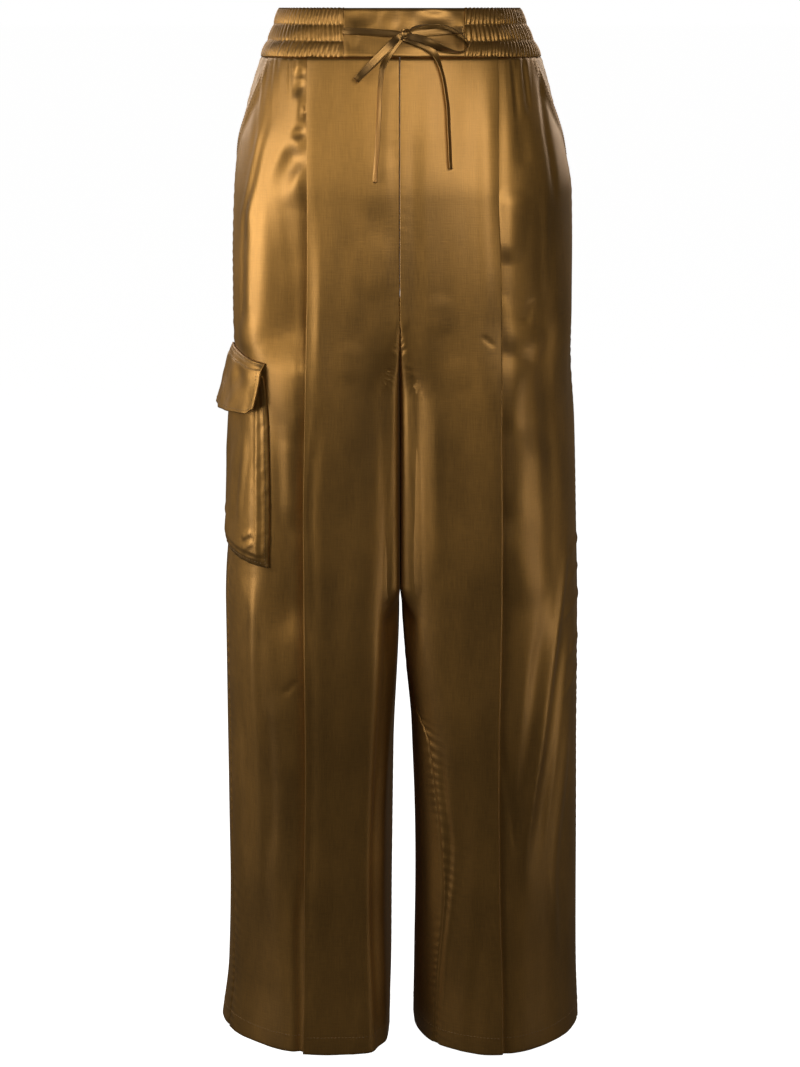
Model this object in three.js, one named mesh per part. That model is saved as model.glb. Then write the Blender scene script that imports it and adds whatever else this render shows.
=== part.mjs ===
// Wide-leg cargo pants in satin, as filled out by a general figure.
// Units are millimetres. +Z is up, the front faces -Y and the wearer's left is +X.
// The origin is the middle of the waist opening, half way up the waistband.

import * as THREE from 'three';

// Driving dimensions

const WAIST_TOP = 28;
const WAIST_SEAM = -18;
const CROTCH_TOP = -262;
const CROTCH_POINT = -345;
const HEM = -1026;
const HEM_TURN = 22;
const WALL = 1.6;
const WAISTBAND_WALL = 2.4;
const HEM_EXTRA = 0.8;
const SEAM_GAP = 0.3;
const SATIN = 0x8a6430;
const SATIN_SHADE = 0x6b4c22;

// Girths and depths, a row for each height, measured on one half of the body.
// side is the half width; front and back are depths; inner is the inside of the leg;
// pleat is the pressed pleat's place; inseam and seam are the depths of the two seams.

const SIZE_COLUMNS = ['z', 'sideR', 'sideL', 'front', 'back', 'innerR', 'innerL', 'pleatR', 'pleatL',
  'inseamR', 'inseamL', 'seamR', 'seamL'];
const SIZES = [
  [28, 119, 118, 92, 95, 1, 1, 84, 88, 20, 15, 0, 0],
  [5, 127, 128, 97, 101, 1, 1, 86, 90, 20, 15, 0, 0],
  [-18, 137, 139, 103, 109, 1, 1, 87, 92, 20, 15, 0, 0],
  [-60, 150, 151, 110, 121, 1, 1, 88, 93, 20, 15, -2, 0],
  [-100, 160, 162, 115, 130, 1, 1, 88, 93, 20, 15, -6, -2],
  [-150, 165, 171, 119, 136, 1, 1, 88, 93, 20, 15, -10, -4],
  [-220, 167, 172, 120, 136, 1, 1, 89, 95, 20, 15, -18, -6],
  [-300, 167, 172, 118, 124, 1, 1, 91, 96, 20, 15, -26, -8],
  [-380, 170, 177, 115, 109, 1, 1, 93, 97, 20, 15, -32, -12],
  [-470, 174, 180, 111, 101, 1, 1, 95, 99, 20, 15, -36, -16],
  [-570, 180, 183, 108, 98, 1, 2, 95, 100, 20, 12, -38, -18],
  [-700, 180, 184, 107, 97, 6, 12, 95, 99, 20, -84, -40, -20],
  [-850, 180, 186, 108, 97, 8, 16, 98, 101, 20, -90, -40, -20],
  [-960, 183, 188, 111, 98, 9, 15, 99, 105, 20, -82, -40, -20],
  [-1026, 191, 191, 114, 100, 11, 14, 100, 106, 20, -79, -36, -16],
];

// How square each quarter of a section is: 2 is an ellipse and more is squarer.
// The hips are one ring about the middle, and each leg is a ring of its own.

const SHAPE_COLUMNS = ['z', 'hipFront', 'hipBack', 'frontInnerR', 'frontInnerL', 'frontOuterR',
  'frontOuterL', 'backOuter', 'backInner'];
const SHAPES = [
  [28, 2.2, 2.2, 5.0, 5.0, 1.8, 1.8, 1.9, 3.4],
  [-150, 2.5, 2.3, 5.0, 5.0, 1.8, 1.8, 1.9, 3.4],
  [-240, 2.9, 2.6, 5.0, 5.0, 1.8, 1.8, 1.9, 3.4],
  [-345, 3.4, 3.1, 5.2, 5.0, 1.9, 1.9, 1.9, 3.4],
  [-450, 3.4, 3.1, 5.4, 5.0, 2.1, 2.1, 2.0, 3.2],
  [-570, 3.4, 3.1, 5.0, 4.4, 2.2, 2.2, 2.1, 2.8],
  [-700, 3.4, 3.1, 4.8, 3.0, 2.1, 2.2, 2.0, 2.4],
  [-850, 3.4, 3.1, 5.0, 2.5, 2.0, 2.1, 1.9, 2.2],
  [-1026, 3.4, 3.1, 6.0, 2.2, 1.6, 1.8, 1.8, 2.0],
];
const BACK_LINE = 88;

// Soft folds: a trough where depth is negative and a ridge where it is positive.
// The place across is the girth from the pleat line, positive towards the side seam.

// Columns: panel, zTop, zBottom, acrossTop, acrossBottom, halfWidth and depth.

const FOLDS = [
  ['frontR', -60, -300, 58, 68, 8, 2.2],
  ['frontR', -120, -300, 77, 80, 7, 1.6],
  ['frontR', -70, -135, 8, 22, 13, -3.5],
  ['frontR', -180, -255, 38, 15, 15, -4],
  ['frontR', -238, -312, 20, 7, 11, -4.5],
  ['frontR', -268, -355, 6, 40, 13, 4.5],
  ['frontR', -328, -372, 20, 44, 11, -3.5],
  ['frontR', -360, -580, 8, 9, 9, -3],
  ['frontR', -530, -640, 34, 4, 13, 3],
  ['frontR', -330, -520, -48, -15, 9, -2.6],
  ['frontR', -500, -1026, -15, -14, 7, -1.8],
  ['frontR', -480, -640, -72, -62, 24, 3],
  ['frontR', -640, -1026, 62, 70, 20, -3.5],
  ['frontR', -640, -1026, 30, 36, 14, 2.5],
  ['frontR', -915, -985, -52, -58, 11, -2.5],
  ['frontL', -100, -225, 22, 26, 11, 3],
  ['frontL', -185, -250, 9, 13, 9, -3.5],
  ['frontL', -240, -300, 32, 38, 10, -3],
  ['frontL', -140, -520, 56, 66, 18, -3.6],
  ['frontL', -270, -330, -26, -16, 12, -2.4],
  ['frontL', -490, -830, 84, 40, 13, 3.6],
  ['frontL', -640, -1026, 66, 84, 18, -3],
  ['frontL', -700, -1026, 20, 18, 12, -2.2],
  ['frontL', -720, -1026, -34, -30, 20, 2.6],
  ['backR', -120, -330, -30, -12, 22, -3],
  ['backR', -300, -400, -70, 20, 14, -2.4],
  ['backR', -330, -450, -80, 40, 16, 2.2],
  ['backR', -420, -1026, 40, 52, 24, -5],
  ['backR', -520, -1026, -50, -60, 26, -5],
  ['backR', -640, -1026, -6, -2, 20, 4],
  ['backL', -120, -330, -26, -10, 22, -3],
  ['backL', -290, -400, -66, 24, 14, -2.6],
  ['backL', -325, -455, -76, 44, 16, 2.4],
  ['backL', -430, -1026, 36, 46, 24, -5],
  ['backL', -500, -1026, -46, -54, 26, -5],
  ['backL', -660, -1026, -4, 2, 20, 4],
];
const FOLD_FADE = 0.3;
const SEAM_REST = 14;

// The pressed pleat: its edge stands proud of the cloth beside it.

const PLEAT_STEP_TOP = 2.4;
const PLEAT_STEP_HEM = 1.1;
const PLEAT_EDGE = 2;
const PLEAT_INSIDE = 16;
const PLEAT_OUTSIDE = 12;

// Gathers under the waistband

const GATHER_RISE = 1.2;
const GATHER_LENGTH = 75;
const GATHER_CLEAR = 16;

// Waistband: a smooth front piece, and an elasticated one with three channels round the rest.

const BAND_FRONT_R = -54;
const BAND_FRONT_L = 62.5;
const BAND_WAVES = 96;
const CHANNELS = 3;
const CHANNEL_RISE = 0.9;
const CHANNEL_DIP = -0.4;
const BAND_WAVE_RISE = 0.7;

// Slanted side pockets

const POCKET_REACH = { R: 46, L: 42 };
const POCKET_MOUTH_END = -116;
const POCKET_GAPE = 2.2;
const FACING_TUCK = 11;
const FACING_INSET = 2.8;

// Cargo pocket and its flap, centred on the right side seam

const CARGO_HALF = 75;
const CARGO_TOP = -322;
const CARGO_BOTTOM = -515;
const CARGO_SLANT = 22;
const CARGO_PUFF = 3.2;
const CARGO_PUFF_MOUTH = 1.2;
const CARGO_EDGE = 10;
const CARGO_LIFT = 0.7;
const FLAP_HALF_TOP = 79;
const FLAP_HALF_BOTTOM = 71;
const FLAP_TOP = -298;
const FLAP_TOP_DROP = 12;
const FLAP_BOTTOM = -363;
const FLAP_BOTTOM_RISE = 4;
const FLAP_KICK = 8;
const FLAP_OVER_POCKET = 4.4;

// Drawstring: a flat cord of this width and thickness, tied in a bow.
// A route's rows are x, y, z and lean: 0 lies flat to the front and 90 is edge on.

const CORD_WIDTH = 6.6;
const CORD_THICK = 1.2;
const KNOT_CENTRE = [4.2, -103.2, 3.4];
const KNOT_HALF = [7, 3.6, 6];
const CORD_ROUTES = {
  drawstring_lead_right: {
    steps: 6,
    route: [
      [-54, -92.2, 6.9, 13], [-45, -95.4, 6.6, 13], [-28.3, -98.7, 5.9, 13], [-14, -100.4, 4.8, 13],
      [-2.5, -101.4, 4.2, 10],
    ],
  },
  drawstring_lead_left: {
    steps: 6,
    route: [
      [60, -90.5, 7.8, -13], [50, -93.9, 7.4, -13], [36, -97.3, 6, -13], [22, -99.5, 4.6, -13],
      [10.4, -101, 4, -10],
    ],
  },
  drawstring_loop_right: {
    steps: 22,
    route: [
      [-1.3, -105.1, 0.5, 0], [-9.4, -110.5, -6.5, 0], [-20, -114, -16.5, 0], [-31, -115.6, -27.5, 0],
      [-38.5, -115.2, -35.5, 0], [-41.5, -111.6, -39, 0], [-38.5, -108.6, -36, 0],
      [-30, -107.6, -28, 0], [-20, -107.1, -18.5, 0], [-11, -105.7, -9, 0], [-3.4, -103.1, -0.6, 0],
    ],
  },
  drawstring_loop_left: {
    steps: 28,
    route: [
      [9.9, -105.2, 7.6, 60], [16, -106.6, 10.6, 75], [25.5, -107.4, 12.4, 88], [36, -107.6, 12.6, 90],
      [46, -105.4, 10.5, 90], [55.5, -102.6, 5.8, 90], [62.5, -100.2, -0.5, 90],
      [65.8, -99.2, -5.5, 90], [63, -99.6, -10.4, 90], [55, -102.6, -12.8, 85], [45, -107, -10.8, 60],
      [35, -110, -6.5, 25], [25, -110.2, -2.4, 0], [16, -108, 0.4, 0], [9.4, -105.8, 1.6, 0],
    ],
  },
  drawstring_end_right: {
    steps: 12,
    route: [
      [0.4, -101.5, -1.6, 0], [-4, -102.6, -6.5, 0], [-10, -104, -14.5, 0], [-14.8, -105.5, -23, 0],
      [-17.6, -107.2, -33, 0], [-19.2, -110.4, -50, 0], [-20.2, -113.2, -70, 0],
      [-21.2, -116.8, -100, 0], [-22.6, -118.8, -120, 0], [-23.8, -119.9, -134, 0],
    ],
  },
  drawstring_end_left: {
    steps: 12,
    route: [
      [10.4, -103.9, -2, 0], [16, -105.2, -3.8, 0], [24, -105.8, -7, 0], [30.5, -106.2, -11.6, 10],
      [34.5, -106.6, -17.5, 40], [38.6, -107.6, -28, 62], [42.2, -109.4, -42, 65],
      [44.6, -111.6, -58, 65], [46.2, -114.6, -80, 65], [47.4, -117.2, -100, 65],
      [48.8, -119, -121, 65],
    ],
  },
};

// Small helpers

const clamp01 = (t) => Math.min(1, Math.max(0, t));
const mix = (a, b, t) => a + (b - a) * t;

function smooth(t) {
  const c = clamp01(t);
  return c * c * (3 - 2 * c);
}

// Reads one column of a table at a height, on a curve that never overshoots its rows.
function columnAt(table, columns, name, z) {
  const k = columns.indexOf(name);
  const last = table.length - 1;
  const step = (i) => table[i][0] - table[i + 1][0];
  const slope = (i) => (table[i + 1][k] - table[i][k]) / step(i);
  const bend = (i) => {
    if (i === 0) return slope(0);
    if (i === last) return slope(last - 1);
    const product = slope(i - 1) * slope(i);
    return product > 0 ? 2 * product / (slope(i - 1) + slope(i)) : 0;
  };
  let i = 0;
  while (i < last - 1 && z < table[i + 1][0]) i += 1;
  const t = clamp01((table[i][0] - z) / step(i));
  const h00 = 2 * t ** 3 - 3 * t ** 2 + 1;
  const h10 = t ** 3 - 2 * t ** 2 + t;
  const h11 = t ** 3 - t ** 2;
  return h00 * table[i][k] + (1 - h00) * table[i + 1][k]
    + step(i) * (h10 * bend(i) + h11 * bend(i + 1));
}

function sizesAt(side, z) {
  const size = (name) => columnAt(SIZES, SIZE_COLUMNS, name, z);
  const shape = (name) => columnAt(SHAPES, SHAPE_COLUMNS, name, z);
  return {
    side: size(`side${side}`),
    inner: size(`inner${side}`),
    pleat: size(`pleat${side}`),
    inseam: size(`inseam${side}`),
    seam: size(`seam${side}`),
    depth: { front: size('front'), back: size('back') },
    hipPower: {
      front: { inner: shape('hipFront'), outer: shape('hipFront') },
      back: { inner: shape('hipBack'), outer: shape('hipBack') },
    },
    legPower: {
      front: { inner: shape(`frontInner${side}`), outer: shape(`frontOuter${side}`) },
      back: { inner: shape('backInner'), outer: shape('backOuter') },
    },
  };
}

// A rounded-square ring, walked from its inner side round the front or the back to its outer side.
const RING_STEPS = 200;

function ringWalk(sizes, powers, part, centre, half, startY) {
  const other = part === 'front' ? 'back' : 'front';
  const facing = part === 'front' ? -1 : 1;
  const depthOf = (forward) => sizes.depth[forward >= 0 ? part : other];
  const powerOf = (forward, inwards) => {
    const quarter = powers[forward >= 0 ? part : other];
    return inwards ? quarter.inner : quarter.outer;
  };
  const angleAt = (y, inwards) => {
    const forward = facing * y;
    const power = powerOf(forward, inwards);
    const across = half * (1 - Math.abs(forward / depthOf(forward)) ** power) ** (1 / power);
    const angle = Math.atan2(forward, inwards ? across : -across);
    return !inwards && angle < 0 ? angle + 2 * Math.PI : angle;
  };
  const first = startY === null ? Math.PI / 2 : angleAt(startY, true);
  const last = angleAt(sizes.seam, false);
  const points = [];
  for (let i = 0; i <= RING_STEPS; i += 1) {
    const angle = mix(first, last, i / RING_STEPS);
    const [c, s] = [Math.cos(angle), Math.sin(angle)];
    const power = powerOf(s, c >= 0);
    const radius = ((Math.abs(c) / half) ** power + (Math.abs(s) / depthOf(s)) ** power) ** (-1 / power);
    points.push([centre - radius * c, facing * radius * s]);
  }
  return points;
}

function lengthsAlong(points) {
  const lengths = [0];
  for (let i = 1; i < points.length; i += 1) {
    const [dx, dy] = [points[i][0] - points[i - 1][0], points[i][1] - points[i - 1][1]];
    lengths.push(lengths[i - 1] + Math.hypot(dx, dy));
  }
  return lengths;
}

function pointAlong(points, lengths, length) {
  let i = 0;
  while (i < lengths.length - 2 && lengths[i + 1] < length) i += 1;
  const t = (length - lengths[i]) / (lengths[i + 1] - lengths[i]);
  return [mix(points[i][0], points[i + 1][0], t), mix(points[i][1], points[i + 1][1], t)];
}

// Splits a walk at the pleat line, and shares each of the two stretches out.
// The first share of a leg is its inner wall, up to the corner where it turns to the front or back.
const ZONE_STEPS = 60;

function shareOut(points, line, wallShare) {
  const lengths = lengthsAlong(points);
  const total = lengths[lengths.length - 1];
  const i = points.findIndex((p, k) => k > 0 && points[k - 1][0] < line && p[0] >= line);
  const t = (line - points[i - 1][0]) / (points[i][0] - points[i - 1][0]);
  const middle = mix(lengths[i - 1], lengths[i], t);
  const shared = [];
  for (let k = 0; k <= ZONE_STEPS; k += 1) {
    const share = Math.max(0, (k / ZONE_STEPS - wallShare) / (1 - wallShare));
    shared.push(pointAlong(points, lengths, middle * share));
  }
  for (let k = 1; k <= ZONE_STEPS; k += 1) {
    shared.push(pointAlong(points, lengths, mix(middle, total, k / ZONE_STEPS)));
  }
  return shared;
}

function innerWallShare(leg) {
  const turn = leg.findIndex((p, k) => k > 0
    && Math.abs(p[0] - leg[k - 1][0]) > Math.abs(p[1] - leg[k - 1][1]) && p[0] > leg[0][0]);
  return turn / ZONE_STEPS;
}

// One panel's line at a height: half of the hips, blended into a leg through the crotch.
const sectionStore = new Map();

function section(side, part, z) {
  const key = `${side} ${part} ${z}`;
  if (sectionStore.has(key)) return sectionStore.get(key);
  const sizes = sizesAt(side, z);
  const line = part === 'front' ? sizes.pleat : BACK_LINE;
  const centre = (sizes.inner + sizes.side) / 2;
  const blend = smooth((CROTCH_TOP - z) / (CROTCH_TOP - CROTCH_POINT));
  const legWalk = ringWalk(sizes, sizes.legPower, part, centre, sizes.side - centre, sizes.inseam);
  const leg = shareOut(legWalk, line, 0);
  const wallShare = blend > 0 ? innerWallShare(leg) : 0;
  const hip = shareOut(ringWalk(sizes, sizes.hipPower, part, 0, sizes.side, null), line, wallShare);
  const points = hip.map((p, k) => [mix(p[0], leg[k][0], blend), mix(p[1], leg[k][1], blend)]);
  const lengths = lengthsAlong(points);
  const inside = lengths[ZONE_STEPS];
  const result = { points, lengths, inside, outside: lengths[lengths.length - 1] - inside };
  sectionStore.set(key, result);
  return result;
}

function foldRelief(panel, z, across) {
  let relief = 0;
  for (const row of FOLDS) {
    const [foldPanel, zTop, zBottom, acrossTop, acrossBottom, halfWidth, depth] = row;
    if (foldPanel !== panel || z > zTop || z < zBottom) continue;
    const down = (zTop - z) / (zTop - zBottom);
    const reach = (across - mix(acrossTop, acrossBottom, down)) / halfWidth;
    if (Math.abs(reach) >= 1) continue;
    const end = zBottom <= HEM ? 1 : smooth((1 - down) / FOLD_FADE);
    relief += depth * (1 - reach ** 2) ** 2 * smooth(down / FOLD_FADE) * end;
  }
  return relief;
}

function pleatRelief(z, across) {
  const proud = mix(PLEAT_STEP_TOP, PLEAT_STEP_HEM, (WAIST_SEAM - z) / (WAIST_SEAM - HEM));
  if (across <= 0) return proud * (1 - smooth(-across / PLEAT_INSIDE));
  const lower = -0.8 * proud * (1 - smooth((across - PLEAT_EDGE) / PLEAT_OUTSIDE));
  return mix(proud, lower, clamp01(across / PLEAT_EDGE));
}

// A point of a panel's outer face, lifted off it by a distance.
const NORMAL_REACH = 2.5;

function skin(side, part, z, across, lift) {
  const line = section(side, part, z);
  const at = clampTo(across, -line.inside, line.outside);
  const base = pointAlong(line.points, line.lengths, at + line.inside);
  const before = clampTo(at - NORMAL_REACH, -line.inside, line.outside);
  const after = clampTo(at + NORMAL_REACH, -line.inside, line.outside);
  const a = pointAlong(line.points, line.lengths, before + line.inside);
  const b = pointAlong(line.points, line.lengths, after + line.inside);
  const length = Math.hypot(b[0] - a[0], b[1] - a[1]);
  const facing = part === 'front' ? 1 : -1;
  const normal = [facing * (b[1] - a[1]) / length, -facing * (b[0] - a[0]) / length];
  const rest = smooth((at + line.inside) / SEAM_REST) * smooth((line.outside - at) / SEAM_REST);
  const folds = foldRelief(part + side, z, at) * rest;
  const relief = lift + folds + (part === 'front' ? pleatRelief(z, at) : 0);
  const x = Math.max(SEAM_GAP / 2, base[0] + normal[0] * relief);
  const mirror = side === 'R' ? -1 : 1;
  return new THREE.Vector3(mirror * x, base[1] + normal[1] * relief, z);
}

function clampTo(value, low, high) {
  return Math.min(high, Math.max(low, value));
}

// A point measured along the girth from the side seam: negative is in front of it.
function seamSkin(side, z, along, lift) {
  if (along <= 0) {
    return skin(side, 'front', z, section(side, 'front', z).outside + along, lift);
  }
  return skin(side, 'back', z, section(side, 'back', z).outside - along, lift);
}

// A closed wall between an outer grid of points and an inner one.
// The inner grid has as many rows as the outer one, or only its first and last.
function wallMesh(name, colour, outer, inner) {
  const points = [...outer.flat(), ...inner.flat()];
  const [rows, columns] = [outer.length, outer[0].length];
  const out = (i, j) => i * columns + j;
  const inn = (i, j) => rows * columns + i * columns + j;
  const faces = [];
  for (let i = 0; i < rows - 1; i += 1) {
    for (let j = 0; j < columns - 1; j += 1) {
      faces.push([out(i, j), out(i + 1, j), out(i + 1, j + 1)]);
      faces.push([out(i, j), out(i + 1, j + 1), out(i, j + 1)]);
    }
  }
  for (let i = 0; i < inner.length - 1; i += 1) {
    for (let j = 0; j < columns - 1; j += 1) {
      faces.push([inn(i, j), inn(i + 1, j + 1), inn(i + 1, j)]);
      faces.push([inn(i, j), inn(i, j + 1), inn(i + 1, j + 1)]);
    }
  }
  const down = [...outer.keys()];
  const downInner = [...inner.keys()];
  const across = [...outer[0].keys()];
  const back = [...across].reverse();
  const lastInner = inner.length - 1;
  faces.push(...strip(down.map((i) => out(i, 0)), downInner.map((i) => inn(i, 0))));
  faces.push(...strip(across.map((j) => out(rows - 1, j)), across.map((j) => inn(lastInner, j))));
  faces.push(...strip(down.map((i) => out(i, columns - 1)).reverse(),
    downInner.map((i) => inn(i, columns - 1)).reverse()));
  faces.push(...strip(back.map((j) => out(0, j)), back.map((j) => inn(0, j))));
  return solidMesh(name, colour, points, faces);
}

// Triangles between two lines of points, which may differ in number.
function strip(a, b) {
  const faces = [];
  let [i, j] = [0, 0];
  while (i < a.length - 1 || j < b.length - 1) {
    const nextA = (i + 0.5) / (a.length - 1);
    const nextB = (j + 0.5) / (b.length - 1);
    if (j === b.length - 1 || (i < a.length - 1 && nextA <= nextB)) {
      faces.push([a[i + 1], a[i], b[j]]);
      i += 1;
    } else {
      faces.push([a[i], b[j], b[j + 1]]);
      j += 1;
    }
  }
  return faces;
}

function solidMesh(name, colour, points, faces) {
  let volume = 0;
  for (const [a, b, c] of faces) {
    volume += points[a].dot(new THREE.Vector3().crossVectors(points[b], points[c]));
  }
  const ordered = volume >= 0 ? faces : faces.map(([a, b, c]) => [a, c, b]);
  const geometry = new THREE.BufferGeometry().setFromPoints(points);
  geometry.setIndex(ordered.flat());
  geometry.computeVertexNormals();
  return namedMesh(name, colour, geometry);
}

function namedMesh(name, colour, geometry) {
  const material = new THREE.MeshStandardMaterial({ color: colour, roughness: 0.4, metalness: 0 });
  const mesh = new THREE.Mesh(geometry, material);
  mesh.name = name;
  return mesh;
}

// Leg panels

const PANEL_ROWS = [-18.15, -32, -52, -76, -98, -116, -150, -190, -226, -258, -276, -294, -312, -330,
  -348, -385, -430, -478, -526, -576, -630, -690, -756, -826, -896, -960, -1004, -1026];
const PLEAT_COLUMNS_IN = [-9, -3, 0];
const PLEAT_COLUMNS_OUT = [2, 8];

function spread(from, to, count) {
  return Array.from({ length: count + 1 }, (_, k) => mix(from, to, k / count));
}

// How far the pocket mouth lies in front of the side seam at a height.
function pocketReach(side, z) {
  const down = clamp01((WAIST_SEAM - z) / (WAIST_SEAM - POCKET_MOUTH_END));
  return POCKET_REACH[side] * (1 - down ** 2);
}

function frontColumns(side, z) {
  const line = section(side, 'front', z);
  const first = -line.inside + SEAM_GAP / 2;
  const last = line.outside - SEAM_GAP / 2 - pocketReach(side, z);
  const insideColumns = spread(first, PLEAT_COLUMNS_IN[0], 13).slice(0, -1);
  const outsideColumns = spread(PLEAT_COLUMNS_OUT[1], last, 8).slice(1);
  return [...insideColumns, ...PLEAT_COLUMNS_IN, ...PLEAT_COLUMNS_OUT, ...outsideColumns];
}

function backColumns(side, z) {
  const line = section(side, 'back', z);
  return spread(-line.inside + SEAM_GAP / 2, line.outside - SEAM_GAP / 2, 16);
}

function wallAt(z) {
  return z < HEM + HEM_TURN + 1 ? WALL + HEM_EXTRA : WALL;
}

function gatherRelief(z, column, across, low, high) {
  const fade = 1 - smooth((WAIST_SEAM - z) / GATHER_LENGTH);
  const inside = smooth((across - low) / GATHER_CLEAR) * smooth((high - across) / GATHER_CLEAR);
  return GATHER_RISE * fade * inside * (column % 2 === 0 ? 1 : -1);
}

// The mouth of the side pocket stands a little open.
function gapeRelief(side, z, across) {
  const mouth = section(side, 'front', z).outside - pocketReach(side, z);
  const middle = Math.sin(Math.PI * clamp01((WAIST_SEAM - z) / (WAIST_SEAM - POCKET_MOUTH_END)));
  return POCKET_GAPE * middle * (1 - smooth((mouth - across) / GATHER_CLEAR));
}

function frontPanel(name, side) {
  const outer = [];
  const inner = [];
  for (const z of PANEL_ROWS) {
    const columns = frontColumns(side, z);
    const mouth = columns[columns.length - 1];
    const lifts = columns.map((across, j) => gatherRelief(z, j, across, PLEAT_EDGE, mouth - GATHER_CLEAR)
      + gapeRelief(side, z, across));
    outer.push(columns.map((across, j) => skin(side, 'front', z, across, lifts[j])));
    inner.push(columns.map((across, j) => skin(side, 'front', z, across, lifts[j] - wallAt(z))));
  }
  return wallMesh(name, SATIN, outer, inner);
}

function backPanel(name, side) {
  const outer = [];
  const inner = [];
  for (const z of PANEL_ROWS) {
    const columns = backColumns(side, z);
    const [low, high] = [columns[0], columns[columns.length - 1]];
    const lifts = columns.map((across, j) => gatherRelief(z, j, across, low, high));
    outer.push(columns.map((across, j) => skin(side, 'back', z, across, lifts[j])));
    inner.push(columns.map((across, j) => skin(side, 'back', z, across, lifts[j] - wallAt(z))));
  }
  return wallMesh(name, SATIN, outer, inner);
}

// The cloth behind a side pocket's mouth: tucked under the front, level with it at the side seam.
const FACING_ROWS = [-18.15, -40, -62, -84, -104, -124];

function pocketFacing(name, side) {
  const outer = [];
  const inner = [];
  for (const z of FACING_ROWS) {
    const reach = pocketReach(side, z);
    const columns = spread(-reach - FACING_TUCK, -SEAM_GAP, 7);
    const inset = (along) => FACING_INSET
      - (FACING_INSET - SEAM_GAP) * smooth((along + reach - 4) / 30) * smooth(reach / 20);
    outer.push(columns.map((along) => seamSkin(side, z, along, -inset(along))));
    inner.push(columns.map((along) => seamSkin(side, z, along, -inset(along) - WALL)));
  }
  return wallMesh(name, SATIN_SHADE, outer, inner);
}

// Waistband

function bandLine(z) {
  const half = (side, part) => section(side, part, z).points;
  const flip = (points) => points.map(([x, y]) => [-x, y]);
  const points = [
    ...half('L', 'front'),
    ...half('L', 'back').slice(0, -1).reverse(),
    ...flip(half('R', 'back')).slice(1),
    ...flip(half('R', 'front')).slice(0, -1).reverse(),
  ];
  return { points, lengths: lengthsAlong(points) };
}

function bandPoint(line, along, z, lift) {
  const total = line.lengths[line.lengths.length - 1];
  const wrap = (length) => (length + total) % total;
  const base = pointAlong(line.points, line.lengths, wrap(along));
  const a = pointAlong(line.points, line.lengths, wrap(along - NORMAL_REACH));
  const b = pointAlong(line.points, line.lengths, wrap(along + NORMAL_REACH));
  const length = Math.hypot(b[0] - a[0], b[1] - a[1]);
  const normal = [(b[1] - a[1]) / length, -(b[0] - a[0]) / length];
  return new THREE.Vector3(base[0] + normal[0] * lift, base[1] + normal[1] * lift, z);
}

// Rows at the edges, the rows of stitching and the middle of each channel.
function bandWall(name, from, to, columns, waveRise) {
  const bottom = WAIST_SEAM + SEAM_GAP / 2;
  const rowCount = CHANNELS * 2;
  const bandRow = (z, lifts) => {
    const line = bandLine(z);
    const total = line.lengths[line.lengths.length - 1];
    const end = to > from ? to : total + to;
    return spread(from, end, columns).map((along, j) => bandPoint(line, along, z, lifts(j)));
  };
  const outer = [];
  for (let i = 0; i <= rowCount; i += 1) {
    const z = mix(WAIST_TOP, bottom, i / rowCount);
    const middle = i % 2 === 1;
    const edge = i === 0 || i === rowCount;
    const rise = middle ? CHANNEL_RISE : CHANNEL_DIP;
    const wave = waveRise * (middle ? 1 : 0.6);
    outer.push(bandRow(z, (j) => (edge ? 0 : rise) + wave * (j % 2 === 0 ? -1 : 1)));
  }
  const inner = [WAIST_TOP, bottom].map((z) => bandRow(z, () => -WAISTBAND_WALL));
  return wallMesh(name, SATIN, outer, inner);
}

// Cargo pocket, a bellows patch over both panels, and its flap.
// The pocket's bottom edge rises towards the back.

function cargoPocket(name) {
  const outer = [];
  const inner = [];
  const bottomAt = (along) => CARGO_BOTTOM + CARGO_SLANT * (1 + along / CARGO_HALF) / 2;
  for (const down of spread(0, 1, 8)) {
    const place = (along, wall) => {
      const z = mix(CARGO_TOP, bottomAt(along), down);
      const mouth = mix(CARGO_PUFF_MOUTH, CARGO_PUFF, smooth((CARGO_TOP - z) / 40));
      const sides = smooth((CARGO_HALF - Math.abs(along)) / CARGO_EDGE);
      const puff = mouth * sides * smooth((z - bottomAt(along)) / CARGO_EDGE);
      return seamSkin('R', z, along, CARGO_LIFT + puff + wall);
    };
    const edges = [CARGO_HALF, CARGO_HALF - CARGO_EDGE];
    const columns = [-edges[0], ...spread(-edges[1], edges[1], 12), edges[0]];
    outer.push(columns.map((along) => place(along, WALL)));
    inner.push(columns.map((along) => place(along, 0)));
  }
  return wallMesh(name, SATIN, outer, inner);
}

function cargoFlap(name) {
  const outer = [];
  const inner = [];
  for (const down of spread(0, 1, 5)) {
    const half = mix(FLAP_HALF_TOP, FLAP_HALF_BOTTOM, down);
    const columns = spread(-1, 1, 14);
    const place = (share, lift) => {
      const slant = Math.abs(share);
      const top = FLAP_TOP - FLAP_TOP_DROP * slant;
      const corner = 5 * smooth((slant - 0.86) / 0.14);
      const bottom = FLAP_BOTTOM + FLAP_BOTTOM_RISE * slant + corner;
      return seamSkin('R', mix(top, bottom, down), share * half, lift);
    };
    const over = FLAP_OVER_POCKET * smooth(down / 0.3);
    const kick = CARGO_LIFT + over + (FLAP_KICK - FLAP_OVER_POCKET) * smooth((down - 0.2) / 0.8);
    outer.push(columns.map((share) => place(share, kick + WALL)));
    inner.push(columns.map((share) => place(share, kick)));
  }
  return wallMesh(name, SATIN, outer, inner);
}

// Drawstring

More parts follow.
